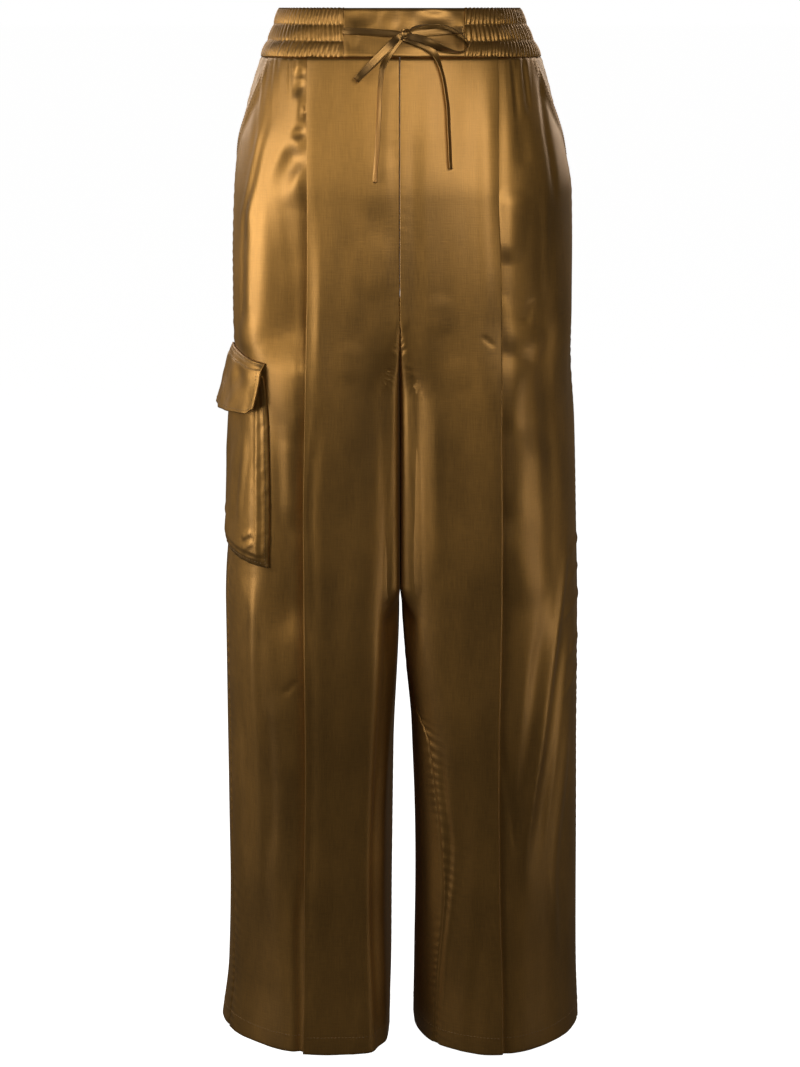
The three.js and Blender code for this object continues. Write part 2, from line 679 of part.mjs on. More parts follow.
// A curve whose section keeps the lean of its rows instead of turning freely.
class RibbonCurve extends THREE.CatmullRomCurve3 {
  constructor(rows) {
    super(rows.map(([x, y, z]) => new THREE.Vector3(x, y, z)));
    this.leans = rows.map((row) => row[3] * Math.PI / 180);
  }

  computeFrenetFrames(segments) {
    const frames = { tangents: [], normals: [], binormals: [] };
    let last = null;
    for (let i = 0; i <= segments; i += 1) {
      const tangent = this.getTangentAt(i / segments);
      const place = this.getUtoTmapping(i / segments) * (this.leans.length - 1);
      const row = Math.min(this.leans.length - 2, Math.floor(place));
      const lean = mix(this.leans[row], this.leans[row + 1], place - row);
      const flat = new THREE.Vector3(-tangent.z, 0, tangent.x);
      const level = flat.length() > 0.35 || last === null;
      const width = level ? flat.normalize().multiplyScalar(Math.cos(lean)) : last.clone();
      if (last !== null && level && lean < 1 && width.dot(last) < 0) width.negate();
      if (level) width.y += Math.sin(lean);
      width.addScaledVector(tangent, -width.dot(tangent)).normalize();
      frames.tangents.push(tangent);
      frames.normals.push(width);
      frames.binormals.push(new THREE.Vector3().crossVectors(tangent, width));
      last = width;
    }
    return frames;
  }
}

function ribbonShape() {
  const [w, t] = [CORD_WIDTH / 2, CORD_THICK / 2];
  const nip = t * 0.6;
  const outline = [[w - nip, -t], [w, -t + nip], [w, t - nip], [w - nip, t],
    [-w + nip, t], [-w, t - nip], [-w, -t + nip], [-w + nip, -t]];
  return new THREE.Shape(outline.map(([x, y]) => new THREE.Vector2(x, y)));
}

function ribbon(name, steps, route) {
  const extrudePath = new RibbonCurve(route);
  const geometry = new THREE.ExtrudeGeometry(ribbonShape(), { steps, extrudePath, bevelEnabled: false });
  return namedMesh(name, SATIN_SHADE, geometry);
}

function knot(name) {
  const geometry = new THREE.SphereGeometry(1, 14, 10);
  geometry.scale(...KNOT_HALF);
  geometry.translate(...KNOT_CENTRE);
  return namedMesh(name, SATIN_SHADE, geometry);
}

// Assembly

const pants = new THREE.Group();
pants.add(frontPanel('front_right', 'R'));
pants.add(frontPanel('front_left', 'L'));
pants.add(backPanel('back_right', 'R'));
pants.add(backPanel('back_left', 'L'));
pants.add(pocketFacing('pocket_facing_right', 'R'));
pants.add(pocketFacing('pocket_facing_left', 'L'));
pants.add(bandWall('waistband_front', BAND_FRONT_R + SEAM_GAP / 2, BAND_FRONT_L - SEAM_GAP / 2, 24, 0));
pants.add(bandWall('waistband_back', BAND_FRONT_L + SEAM_GAP / 2, BAND_FRONT_R - SEAM_GAP / 2,
  BAND_WAVES * 2, BAND_WAVE_RISE));
pants.add(cargoPocket('cargo_pocket'));
pants.add(cargoFlap('cargo_flap'));
pants.add(knot('drawstring_knot'));
for (const [name, { steps, route }] of Object.entries(CORD_ROUTES)) {
  pants.add(ribbon(name, steps, route));
}

export default pants;
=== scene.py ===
# Wide-leg satin cargo pants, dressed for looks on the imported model's frame.
# Tables are in millimetres, in the same axes as the solids: -Y is the front and
# the wearer's left is +X. Every mesh is made in metres.

import math

import bpy
import numpy as np
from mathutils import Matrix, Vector


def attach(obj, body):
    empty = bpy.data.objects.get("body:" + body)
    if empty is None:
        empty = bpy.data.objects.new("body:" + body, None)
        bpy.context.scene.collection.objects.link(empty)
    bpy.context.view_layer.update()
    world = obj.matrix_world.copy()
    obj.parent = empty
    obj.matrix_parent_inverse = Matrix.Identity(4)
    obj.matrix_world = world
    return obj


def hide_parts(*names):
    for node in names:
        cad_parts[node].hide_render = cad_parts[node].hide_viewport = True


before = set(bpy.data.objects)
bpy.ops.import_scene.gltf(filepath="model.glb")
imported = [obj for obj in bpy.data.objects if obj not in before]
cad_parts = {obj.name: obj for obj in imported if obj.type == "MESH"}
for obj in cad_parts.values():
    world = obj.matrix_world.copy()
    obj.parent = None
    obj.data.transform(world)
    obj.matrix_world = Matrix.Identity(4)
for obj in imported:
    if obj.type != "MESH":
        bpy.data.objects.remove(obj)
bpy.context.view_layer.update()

# Driving dimensions, as in the solids

WAIST_TOP = 28
WAIST_SEAM = -18
CROTCH_TOP = -262
CROTCH_POINT = -345
HEM = -1026

SIZE_COLUMNS = ["z", "sideR", "sideL", "front", "back", "innerR", "innerL", "pleatR", "pleatL",
                "inseamR", "inseamL", "seamR", "seamL"]
SIZES = np.array([
    [28, 119, 118, 92, 95, 1, 1, 84, 88, 20, 15, 0, 0],
    [5, 127, 128, 97, 101, 1, 1, 86, 90, 20, 15, 0, 0],
    [-18, 137, 139, 103, 109, 1, 1, 87, 92, 20, 15, 0, 0],
    [-60, 150, 151, 110, 121, 1, 1, 88, 93, 20, 15, -2, 0],
    [-100, 160, 162, 115, 130, 1, 1, 88, 93, 20, 15, -6, -2],
    [-150, 165, 171, 119, 136, 1, 1, 88, 93, 20, 15, -10, -4],
    [-220, 167, 172, 120, 136, 1, 1, 89, 95, 20, 15, -18, -6],
    [-300, 167, 172, 118, 124, 1, 1, 91, 96, 20, 15, -26, -8],
    [-380, 170, 177, 115, 109, 1, 1, 93, 97, 20, 15, -32, -12],
    [-470, 174, 180, 111, 101, 1, 1, 95, 99, 20, 15, -36, -16],
    [-570, 180, 183, 108, 98, 1, 2, 95, 100, 20, 12, -38, -18],
    [-700, 180, 184, 107, 97, 6, 12, 95, 99, 20, -84, -40, -20],
    [-850, 180, 186, 108, 97, 8, 16, 98, 101, 20, -90, -40, -20],
    [-960, 183, 188, 111, 98, 9, 15, 99, 105, 20, -82, -40, -20],
    [-1026, 191, 191, 114, 100, 11, 14, 100, 106, 20, -79, -36, -16],
], dtype=float)

SHAPE_COLUMNS = ["z", "hipFront", "hipBack", "frontInnerR", "frontInnerL", "frontOuterR",
                 "frontOuterL", "backOuter", "backInner"]
SHAPES = np.array([
    [28, 2.2, 2.2, 5.0, 5.0, 1.8, 1.8, 1.9, 3.4],
    [-150, 2.5, 2.3, 5.0, 5.0, 1.8, 1.8, 1.9, 3.4],
    [-240, 2.9, 2.6, 5.0, 5.0, 1.8, 1.8, 1.9, 3.4],
    [-345, 3.4, 3.1, 5.2, 5.0, 1.9, 1.9, 1.9, 3.4],
    [-450, 3.4, 3.1, 5.4, 5.0, 2.1, 2.1, 2.0, 3.2],
    [-570, 3.4, 3.1, 5.0, 4.4, 2.2, 2.2, 2.1, 2.8],
    [-700, 3.4, 3.1, 4.8, 3.0, 2.1, 2.2, 2.0, 2.4],
    [-850, 3.4, 3.1, 5.0, 2.5, 2.0, 2.1, 1.9, 2.2],
    [-1026, 3.4, 3.1, 6.0, 2.2, 1.6, 1.8, 1.8, 2.0],
], dtype=float)
BACK_LINE = 88

# Folds: a trough where depth is negative and a ridge where it is positive.
# Each has the places along it, half its width, its depth and how crisp its line is.
# A depth is one number for the whole fold, or one for each place along it.
# A place is its height and its girth from the pleat line, positive towards the side seam.

FRONT_R_FOLDS = [
    # Beside the side seam and the pocket
    ([(-70, 38), (-124, 53), (-168, 69), (-196, 74)], 9, 1.5, 0.2),
    ([(-70, 52), (-126, 67), (-170, 84), (-194, 89)], 7, 1.2, 0.2),
    ([(-140, 66), (-210, 67), (-290, 65)], 10, 1.6, 0.3),
    ([(-150, 81), (-284, 79)], 6, -0.9, 0.2),
    ([(-500, 56), (-653, 59), (-825, 61), (-915, 64)], 10, 1.7, 0.2),
    ([(-640, 80), (-860, 80)], 8, -1.2, 0.0),
    ([(-640, 43), (-840, 44)], 9, -1.1, 0.0),
    # Between the side and the pleat
    ([(-18, 9), (-27, 10)], 9, 0.9, 0.0),
    ([(-28, 4), (-33, 9), (-42, 12)], 6, (0, -1.5, 0), 0.0),
    ([(-37, 7), (-45, 10), (-58, 13)], 7, (0, -2.2, 0), 0.0),
    ([(-61, 3), (-68, 4), (-80, 6)], 5, (0, -1.7, 0), 0.0),
    ([(-81, 4), (-88, 9.5), (-97, 16)], 8, (0, -2.4, 0), 0.0),
    ([(-99, 7), (-114, 16.5), (-156, 42)], 16, (0, -4.8, 0), 0.0),
    ([(-125, 5), (-165, 5), (-215, 5), (-272, 5), (-320, 10), (-372, 8), (-430, 6), (-545, 6),
      (-640, 8), (-780, 10), (-1026, 10)], 55,
     (0, -3.4, -7.6, -9.0, -4.4, -6.4, -8.4, -9.0, -7.0, -5.0, -3.0), 0.0),
    ([(-128, 14), (-185, 16), (-280, 14), (-322, 20), (-400, 16), (-540, 14), (-660, 14)], 44,
     (0, -5.0, -6.5, -0.6, -2.8, -2.8, 0), 0.0),
    ([(-140, -1), (-240, -1), (-500, -1), (-800, -1), (-1026, -1)], 13,
     (0, -2.6, -3.2, -2.0, -1.0), 0.0),
    ([(-290, 68), (-322, 46), (-360, 16)], 30, 2.5, 0.0),
    ([(-366, 24), (-413, 18), (-480, 15)], 15, 1.8, 0.1),
    ([(-500, 66), (-547, 34), (-584, 4)], 30, -2.0, 0.0),
    ([(-628, 7), (-646, 26)], 6, -0.7, 0.3),
    ([(-672, 26), (-716, 15)], 34, 1.1, 0.0),
    ([(-830, 7), (-923, 10), (-1026, 6)], 9, -2.2, 0.2),
    # Between the pleat and the inside leg
    ([(-124, -69), (-143, -68)], 30, 0.8, 0.0),
    ([(-207, -69), (-221, -69)], 30, 0.8, 0.0),
    ([(-300, -43), (-312, -42)], 18, 0.6, 0.0),
    ([(-330, -20), (-382, -12.5), (-447, -8.5), (-503, -9.7), (-610, -12)], 6, -2.4, 0.6),
    ([(-290, -92), (-350, -88), (-423, -73), (-504, -63), (-585, -49), (-680, -36)], 26,
     (0, 1.0, 2.0, 2.2, 2.0, 0), 0.1),
    ([(-330, -100), (-420, -99), (-520, -95), (-600, -90), (-700, -88), (-850, -88), (-1026, -90)], 19,
     (0, -5.0, -6.0, -6.0, -6.0, -5.0, -4.0), 0.0),
    ([(-560, -9), (-709, -8), (-815, -7.5), (-890, -6)], 7, -1.5, 0.5),
    ([(-820, 0), (-880, 0)], 230, -11.0, 0.0),
    ([(-960, -66), (-993, -59), (-1026, -53)], 4.5, 1.1, 0.6),
]
FRONT_L_FOLDS = [
    # The crest along the pleat, and from there to the inside leg
    ([(-90, 0), (-310, 0), (-450, 0), (-650, 0)], 64, (0, 6.0, 5.4, 0), 0.0),
    ([(-850, 0), (-910, 0)], 200, -7.5, 0.0),
    ([(-10, -10.5), (-151, -10), (-300, -9)], 13, 1.3, 0.1),
    ([(-60, -84), (-245, -83), (-335, -85)], 15, -1.4, 0.1),
    ([(-335, -100), (-400, -103), (-480, -103), (-560, -101), (-650, -94)], 19,
     (0, -5.0, -6.5, -6.0, 0), 0.0),
    ([(-690, -61), (-747, -58), (-809, -53.5), (-871, -59), (-932, -70), (-1026, -80)], 6.5,
     (0, -2.2, -2.6, -2.6, -2.2, -1.6), 0.2),
    ([(-700, -50), (-809, -42), (-932, -56), (-1026, -66)], 22, (0, -2.6, -2.6, -1.0), 0.0),
    ([(-279, -18), (-291, -6)], 3.5, -0.8, 0.6),
    ([(-254, -58), (-266, -58)], 18, 0.7, 0.0),
    ([(-314, -42), (-320, -41)], 18, 0.5, 0.0),
    ([(-334, -63), (-403, -62), (-473, -63), (-530, -62)], 7, 1.5, 0.4),
    # Gathers that fan out from the waistband, and the forms beside the pleat
    ([(-16, 19.6), (-82, 23)], 6, -1.2, 0.3),
    ([(-16, 34), (-74, 37)], 6, -1.4, 0.3),
    ([(-16, 60), (-79, 61), (-122, 66.6), (-165, 69)], 9, -2.0, 0.3),
    ([(-70, 27), (-126, 29)], 13, -1.0, 0.0),
    ([(-158, 16), (-192, 9)], 22, 2.6, 0.0),
    ([(-244, 34), (-272, 25)], 6, -1.3, 0.3),
    ([(-258, -4), (-280, 12), (-290, 38)], 20, 1.7, 0.1),
    ([(-326, 14), (-346, 4)], 32, 1.9, 0.0),
    ([(-404, 30), (-432, 14)], 36, 1.6, 0.0),
    ([(-492, 12), (-524, 28)], 36, 1.8, 0.0),
    ([(-130, 54), (-248, 50), (-366, 55), (-478, 60), (-600, 52)], 20, -1.8, 0.0),
    ([(-143, 55), (-252, 52)], 7, 1.0, 0.0),
    # The long folds that cross the shin from the side seam
    ([(-455, 96), (-514, 82), (-577, 66), (-637, 54), (-713, 44), (-791, 33), (-870, 26)], 10, 2.4, 0.5),
    ([(-540, 49), (-639, 37), (-711, 29), (-820, 16)], 12, -2.2, 0.0),
    ([(-557, 93), (-610, 74), (-695, 61), (-757, 53), (-850, 41)], 12, -2.4, 0.0),
    ([(-650, 93), (-744, 83), (-847, 70), (-950, 78)], 13, 1.8, 0.0),
    ([(-690, 6), (-757, 13), (-830, 23)], 8, -1.5, 0.2),
    # Puckers at the side seam
    ([(-498, 124), (-504, 104), (-516, 74)], 9, (1.5, 1.2, 0), 0.0),
    ([(-527, 124), (-531, 106), (-540, 84)], 7, (1.2, 1.0, 0), 0.0),
    ([(-556, 124), (-562, 102), (-577, 70)], 9, (1.6, 1.3, 0), 0.0),
    ([(-601, 124), (-606, 106), (-622, 80)], 8, (1.4, 1.1, 0), 0.0),
    ([(-633, 124), (-640, 104), (-660, 74)], 7, (1.2, 1.0, 0), 0.0),
]
# At the back the cloth hangs from the seat in long hollows.
BACK_R_FOLDS = [
    ([(-120, -30), (-330, -12)], 26, -3.0, 0.0),
    ([(-300, -72), (-352, -20), (-378, 24)], 18, -2.8, 0.0),
    ([(-332, -84), (-392, -24), (-430, 40)], 20, 2.6, 0.0),
    ([(-410, 38), (-640, 44), (-1026, 52)], 28, -5.0, 0.0),
    ([(-500, -46), (-760, -54), (-1026, -60)], 30, -5.0, 0.0),
    ([(-600, -8), (-800, -4), (-1026, -2)], 20, 3.6, 0.1),
    ([(-150, 48), (-240, 54), (-330, 50)], 22, 1.8, 0.0),
    ([(-560, 78), (-720, 84), (-930, 80)], 10, 1.6, 0.3),
]
BACK_L_FOLDS = [
    ([(-120, -26), (-330, -10)], 26, -3.0, 0.0),
    ([(-290, -68), (-346, -14), (-380, 28)], 18, -3.0, 0.0),
    ([(-325, -78), (-392, -18), (-440, 46)], 20, 2.8, 0.0),
    ([(-420, 34), (-660, 42), (-1026, 46)], 28, -5.0, 0.0),
    ([(-480, -42), (-740, -50), (-1026, -54)], 30, -5.0, 0.0),
    ([(-620, -6), (-820, -2), (-1026, 2)], 20, 3.6, 0.1),
    ([(-160, 44), (-250, 50), (-340, 44)], 22, 1.8, 0.0),
    ([(-600, 84), (-760, 78), (-960, 84)], 10, 1.6, 0.3),
]
FOLDS = {"frontR": FRONT_R_FOLDS, "frontL": FRONT_L_FOLDS, "backR": BACK_R_FOLDS, "backL": BACK_L_FOLDS}
FOLD_FADE = 0.28
NARROW_FOLD = 9.5
SEAM_REST = 14
NARROW_REST = 4

CENTRE_STEP = {"R": 1.4, "L": 0.1}
CENTRE_GAP = {"front": 0.1, "back": 0.02}
LEG_TOUCH = 0.1
LEG_SWAY = 0.6
LEGS_PART = -575

PLEAT_STEP_TOP = 2.4
PLEAT_STEP_HEM = 1.8
PLEAT_EDGE = 1.1
PLEAT_INSIDE = 34
PLEAT_OUTSIDE = 12

BAND_FRONT_R = -54
BAND_FRONT_L = 62.5
CHANNELS = 3
BAND_TUCK = 2.2
BAND_TUCK_FROM = -19.9
BAND_TUCK_RUN = 3.2

POCKET_REACH = {"R": 46, "L": 42}
POCKET_MOUTH_END = -116
POCKET_GAPE = 2.2
FACING_TUCK = 11
FACING_INSET = 2.8

CARGO_HALF = 75
CARGO_TOP = -322
CARGO_BOTTOM = -515
CARGO_SLANT = 22
FLAP_HALF_TOP = 79
FLAP_HALF_BOTTOM = 71
FLAP_TOP = -298
FLAP_TOP_DROP = 12
FLAP_BOTTOM = -363
FLAP_BOTTOM_RISE = 4
FLAP_FLARE = 12.5

# Drawstring routes: x, y, z and lean, where 0 lies flat to the front and 90 is edge on

CORD_WIDTH = 6.6
KNOT_CENTRE = np.array([4.2, -103.2, 3.4])
CORD_RIGHT = [
    [-54, -92.2, 6.9, 13], [-45, -95.4, 6.6, 13], [-28.3, -98.7, 5.9, 13], [-14, -100.4, 4.8, 13],
    [-2.5, -101.4, 4.2, 10], [4.6, -102.6, 4.4, 0], [7.4, -104.0, 3.2, 0], [4.0, -105.4, 2.0, 0],
    [-1.3, -105.1, 0.5, 0], [-9.4, -110.5, -6.5, 0], [-20, -114, -16.5, 0], [-31, -115.6, -27.5, 0],
    [-38.5, -115.2, -35.5, 0], [-41.5, -111.6, -39, 0], [-38.5, -108.6, -36, 0],
    [-30, -107.6, -28, 0], [-20, -107.1, -18.5, 0], [-11, -105.7, -9, 0], [-3.4, -103.1, -0.6, 0],
    [3.2, -101.9, 3.6, 0], [6.2, -101.2, 2.6, 0], [4.2, -101.0, 0.6, 0],
    [0.4, -101.5, -1.6, 0], [-4, -102.6, -6.5, 0], [-10, -104, -14.5, 10], [-14.8, -105.5, -23, 25],
    [-17.6, -107.2, -33, 40], [-19.2, -110.4, -50, 50], [-20.2, -113.2, -70, 50],
    [-21.2, -116.8, -100, 50], [-22.6, -118.8, -120, 50], [-23.8, -119.9, -134, 50],
]
CORD_LEFT = [
    [60, -90.5, 7.8, -13], [50, -93.9, 7.4, -13], [36, -97.3, 6, -13], [22, -99.5, 4.6, -13],
    [10.4, -101, 4, -10], [4.4, -102.2, 4.4, 0], [1.4, -103.8, 5.6, 20], [5.0, -105.2, 7.0, 45],
    [9.9, -105.2, 7.6, 60], [16, -106.6, 10.6, 75], [25.5, -107.4, 12.4, 88], [36, -107.6, 12.6, 90],
    [46, -105.4, 10.5, 90], [55.5, -102.6, 5.8, 90], [62.5, -100.2, -0.5, 90],
    [65.8, -99.2, -5.5, 90], [63, -99.6, -10.4, 90], [55, -102.6, -12.8, 85], [45, -107, -10.8, 60],
    [35, -110, -6.5, 25], [25, -110.2, -2.4, 0], [16, -108, 0.4, 0], [9.4, -105.8, 1.6, 0],
    [3.8, -104.4, 2.4, 0], [2.2, -103.2, 1.0, 0], [5.4, -103.2, -0.6, 0],
    [10.4, -103.9, -2, 0], [16, -105.2, -3.8, 0], [24, -105.8, -7, 0], [30.5, -106.2, -11.6, 10],
    [34.5, -106.6, -17.5, 40], [38.6, -107.6, -28, 62], [42.2, -109.4, -42, 65],
    [44.6, -111.6, -58, 65], [46.2, -114.6, -80, 65], [47.4, -117.2, -100, 65],
    [48.8, -119, -121, 65],
]


# Small helpers

def smooth(t):
    t = np.clip(t, 0.0, 1.0)
    return t * t * (3 - 2 * t)


def mix(a, b, t):
    return a + (b - a) * t


def spaced(low, high, step):
    return np.linspace(low, high, max(2, int(round(abs(high - low) / step)) + 1))


def read_table(table, columns, name, z):
    """One column of a table at a height, on a curve that never overshoots its rows."""
    k = columns.index(name)
    heights, values = table[:, 0], table[:, k]
    step = heights[:-1] - heights[1:]
    slope = np.diff(values) / step
    bend = np.zeros(len(values))
    bend[0], bend[-1] = slope[0], slope[-1]
    for i in range(1, len(values) - 1):
        product = slope[i - 1] * slope[i]
        bend[i] = 2 * product / (slope[i - 1] + slope[i]) if product > 0 else 0
    i = 0
    while i < len(values) - 2 and z < heights[i + 1]:
        i += 1
    t = min(1.0, max(0.0, (heights[i] - z) / step[i]))
    h00 = 2 * t ** 3 - 3 * t ** 2 + 1
    h10 = t ** 3 - 2 * t ** 2 + t
    h11 = t ** 3 - t ** 2
    return h00 * values[i] + (1 - h00) * values[i + 1] + step[i] * (h10 * bend[i] + h11 * bend[i + 1])


def smooth_route(rows, per_row=14):
    """A smooth curve through rows of any number of values."""
    rows = np.asarray(rows, dtype=float)
    padded = np.vstack([2 * rows[0] - rows[1], rows, 2 * rows[-1] - rows[-2]])
    out = []
    for i in range(1, len(padded) - 2):
        p0, p1, p2, p3 = padded[i - 1:i + 3]
        t = np.linspace(0, 1, per_row, endpoint=False)[:, None]
        out.append(0.5 * (2 * p1 + (p2 - p0) * t + (2 * p0 - 5 * p1 + 4 * p2 - p3) * t ** 2
                          + (3 * p1 - p0 - 3 * p2 + p3) * t ** 3))
    out.append(padded[-2][None, :])
    return np.concatenate(out)


def cloth_uv(along, heights):
    return np.stack([along, np.broadcast_to(heights, along.shape)], axis=-1)


def lengths_along(points):
    return np.concatenate([[0], np.cumsum(np.linalg.norm(np.diff(points, axis=0), axis=1))])


# Sections: half of the hips, blended into a leg through the crotch

RING_STEPS = 700
ZONE_STEPS = 150


def ring_walk(side, part, z, centre, half, powers, start_y):
    """A quarter or more of a rounded ring, from the inside leg or the centre to the side seam."""
    depths = {"front": read_table(SIZES, SIZE_COLUMNS, "front", z),
              "back": read_table(SIZES, SIZE_COLUMNS, "back", z)}
    other = "back" if part == "front" else "front"
    facing = -1 if part == "front" else 1

    def angle_at(y, inwards):
        forward = facing * y
        key = part if forward >= 0 else other
        power = powers[key][0 if inwards else 1]
        across = half * (1 - abs(forward / depths[key]) ** power) ** (1 / power)
        angle = math.atan2(forward, across if inwards else -across)
        return angle + 2 * math.pi if not inwards and angle < 0 else angle

    first = math.pi / 2 if start_y is None else angle_at(start_y, True)
    last = angle_at(read_table(SIZES, SIZE_COLUMNS, "seam" + side, z), False)
    angle = np.linspace(first, last, RING_STEPS + 1)
    c, s = np.cos(angle), np.sin(angle)
    ahead, inwards = s >= 0, c >= 0
    power = np.where(ahead, np.where(inwards, *powers[part]), np.where(inwards, *powers[other]))
    depth = np.where(ahead, depths[part], depths[other])
    radius = ((np.abs(c) / half) ** power + (np.abs(s) / depth) ** power) ** (-1 / power)
    return np.stack([centre - radius * c, facing * radius * s], axis=1)


def share_out(points, line, wall_share):
    """Spreads a line's points evenly to either side of the pleat line, with the inner wall's share first."""
    lengths = lengths_along(points)
    x = points[:, 0]
    i = int(np.argmax((x[:-1] < line) & (x[1:] >= line)))
    middle = mix(lengths[i], lengths[i + 1], (line - x[i]) / (x[i + 1] - x[i]))
    k = np.arange(ZONE_STEPS + 1) / ZONE_STEPS
    share = np.maximum(0, (k - wall_share) / (1 - wall_share))
    at = np.concatenate([middle * share, mix(middle, lengths[-1], k[1:])])
    return np.stack([np.interp(at, lengths, points[:, 0]), np.interp(at, lengths, points[:, 1])], axis=1)


def inner_wall_share(leg):
    """The share of the inner zone that runs along the wall between the legs, up to its corner."""
    step = np.abs(np.diff(leg, axis=0))
    turned = (step[:, 0] > step[:, 1]) & (leg[1:, 0] > leg[0, 0])
    return (int(np.argmax(turned)) + 1) / ZONE_STEPS


section_store = {}


def section(side, part, z):
    """A panel's line at a height, its lengths, and its girth inside and outside the pleat line."""
    key = (side, part, round(float(z), 4))
    if key in section_store:
        return section_store[key]
    size = {name: read_table(SIZES, SIZE_COLUMNS, name + side, z)
            for name in ("side", "inner", "pleat", "inseam")}
    shape = {name: read_table(SHAPES, SHAPE_COLUMNS, name, z)
             for name in ("hipFront", "hipBack", "backOuter", "backInner", "frontInner" + side,
                          "frontOuter" + side)}
    hip_powers = {"front": (shape["hipFront"],) * 2, "back": (shape["hipBack"],) * 2}
    leg_powers = {"front": (shape["frontInner" + side], shape["frontOuter" + side]),
                  "back": (shape["backInner"], shape["backOuter"])}
    line = size["pleat"] if part == "front" else BACK_LINE
    centre = (size["inner"] + size["side"]) / 2
    blend = float(smooth((CROTCH_TOP - z) / (CROTCH_TOP - CROTCH_POINT)))
    half = size["side"] - centre
    leg = share_out(ring_walk(side, part, z, centre, half, leg_powers, size["inseam"]), line, 0)
    wall_share = inner_wall_share(leg) if blend > 0 else 0
    hip = share_out(ring_walk(side, part, z, 0, size["side"], hip_powers, None), line, wall_share)
    points = mix(hip, leg, blend)
    lengths = lengths_along(points)
    inside = lengths[ZONE_STEPS]
    result = (points, lengths, inside, lengths[-1] - inside)
    section_store[key] = result
    return result


NORMAL_REACH = 2.5


def point_on(points, lengths, at):
    return np.stack([np.interp(at, lengths, points[:, 0]), np.interp(at, lengths, points[:, 1])], axis=-1)


def normals_from(before, after):
    step = after - before
    step /= np.linalg.norm(step, axis=1)[:, None]
    return np.stack([step[:, 1], -step[:, 0]], axis=1)


def base_rows(side, part, rows, across):
    """Points and outward normals of the plain skin, a row for each height. Both are [row, column, xy]."""
    points = np.zeros(across.shape + (2,))
    normals = np.zeros(across.shape + (2,))
    facing = 1 if part == "front" else -1
    for i, z in enumerate(rows):
        line, lengths, inside, _ = section(side, part, z)
        at = np.clip(across[i] + inside, 0, lengths[-1])
        points[i] = point_on(line, lengths, at)
        before = point_on(line, lengths, np.clip(at - NORMAL_REACH, 0, lengths[-1]))
        after = point_on(line, lengths, np.clip(at + NORMAL_REACH, 0, lengths[-1]))
        normals[i] = facing * normals_from(before, after)
    return points, normals


def edges_of(side, part, rows):
    """How far the cloth runs either way from the pleat line, for each height."""
    found = [section(side, part, z) for z in rows]
    return np.array([s[2] for s in found]), np.array([s[3] for s in found])


# Relief

def gap_to_line(line, z, across):
    """The distance of each point of a grid from a line, and how far along the line it lies, from 0 to 1."""
    lengths = lengths_along(line)
    gap = np.full(across.shape, np.inf)
    place = np.zeros(across.shape)
    for k in range(len(line) - 1):
        step = line[k + 1] - line[k]
        down, aside = z - line[k, 0], across - line[k, 1]
        t = np.clip((down * step[0] + aside * step[1]) / (step @ step), 0, 1)
        near = np.hypot(down - t * step[0], aside - t * step[1])
        closer = near < gap
        gap = np.where(closer, near, gap)
        place = np.where(closer, lengths[k] + t * (lengths[k + 1] - lengths[k]), place)
    return gap, place / lengths[-1]


def eased(at, marks, values):
    """Values read between marks, level at each mark."""
    values = np.asarray(values, dtype=float)
    k = np.clip(np.searchsorted(marks, at, side="right") - 1, 0, len(marks) - 2)
    return mix(values[k], values[k + 1], smooth((at - marks[k]) / (marks[k + 1] - marks[k])))


def one_fold(route, half_width, depth, crisp, z, across):
    """depth is one number, which fades at both ends, or a number for each place of the route."""
    line = smooth_route(route, 5)
    gap, place = gap_to_line(line, z, across)
    reach = np.clip(gap / half_width, 0, 1)
    profile = mix((1 - reach ** 2) ** 2, (1 - reach) ** 2, crisp)
    lengths = lengths_along(line)
    if isinstance(depth, tuple):
        return profile * eased(place, lengths[::5] / lengths[-1], depth)
    height = depth * profile
    if lengths[-1] > 3 * half_width:
        height *= smooth(place / FOLD_FADE)
        if line[-1, 0] > HEM:
            height *= smooth((1 - place) / FOLD_FADE)
    return height


def fold_relief(panel, z, across, to_inner, to_outer):
    """All the folds of a panel. On a front panel a fold stops at the pleat, unless it runs along it."""
    z = np.broadcast_to(z, across.shape)
    relief = np.zeros(across.shape)
    for route, half_width, depth, crisp in FOLDS[panel]:
        heights = [place[0] for place in route]
        rows = (z[:, 0] < max(heights) + half_width) & (z[:, 0] > min(heights) - half_width)
        if not np.any(rows):
            continue
        height = one_fold(route, half_width, depth, crisp, z[rows], across[rows])
        if panel.startswith("front"):
            past_pleat = smooth(across[rows] / PLEAT_EDGE)
            middle = np.mean([place[1] for place in route])
            if middle != 0:
                height *= past_pleat if middle > 0 else 1 - past_pleat
        rest = NARROW_REST if half_width < NARROW_FOLD else max(SEAM_REST, half_width / 4)
        relief[rows] += height * smooth(to_inner[rows] / rest) * smooth(to_outer[rows] / rest)
    return relief


def pleat_relief(z, across):
    """The pressed pleat: the inner side stands proud and drops sharply to the outer side."""
    proud = mix(PLEAT_STEP_TOP, PLEAT_STEP_HEM, (WAIST_SEAM - z) / (WAIST_SEAM - HEM))
    inner = proud * (1 - smooth(-across / PLEAT_INSIDE))
    lower = -0.8 * proud * (1 - smooth((across - PLEAT_EDGE) / PLEAT_OUTSIDE))
    return np.where(across <= 0, inner, mix(proud, lower, smooth(across / PLEAT_EDGE)))


def waves(seed, u, v, sizes, count=4):
    """A seeded sum of slow sines. sizes is (shortest, longest) across and down, in millimetres."""
    rng = np.random.default_rng(seed)
    (u_short, u_long), (v_short, v_long) = sizes
    total = np.zeros(np.broadcast(u, v).shape)
    for _ in range(count):
        fu = 2 * math.pi / rng.uniform(u_short, u_long)
        fv = 2 * math.pi / rng.uniform(v_short, v_long)
        lean = rng.uniform(-1, 1)
        total = total + np.sin(fu * u + lean * fv * v + rng.uniform(0, 6.28)
                               + 0.9 * np.sin(fv * v + rng.uniform(0, 6.28)))
    return total / math.sqrt(count)


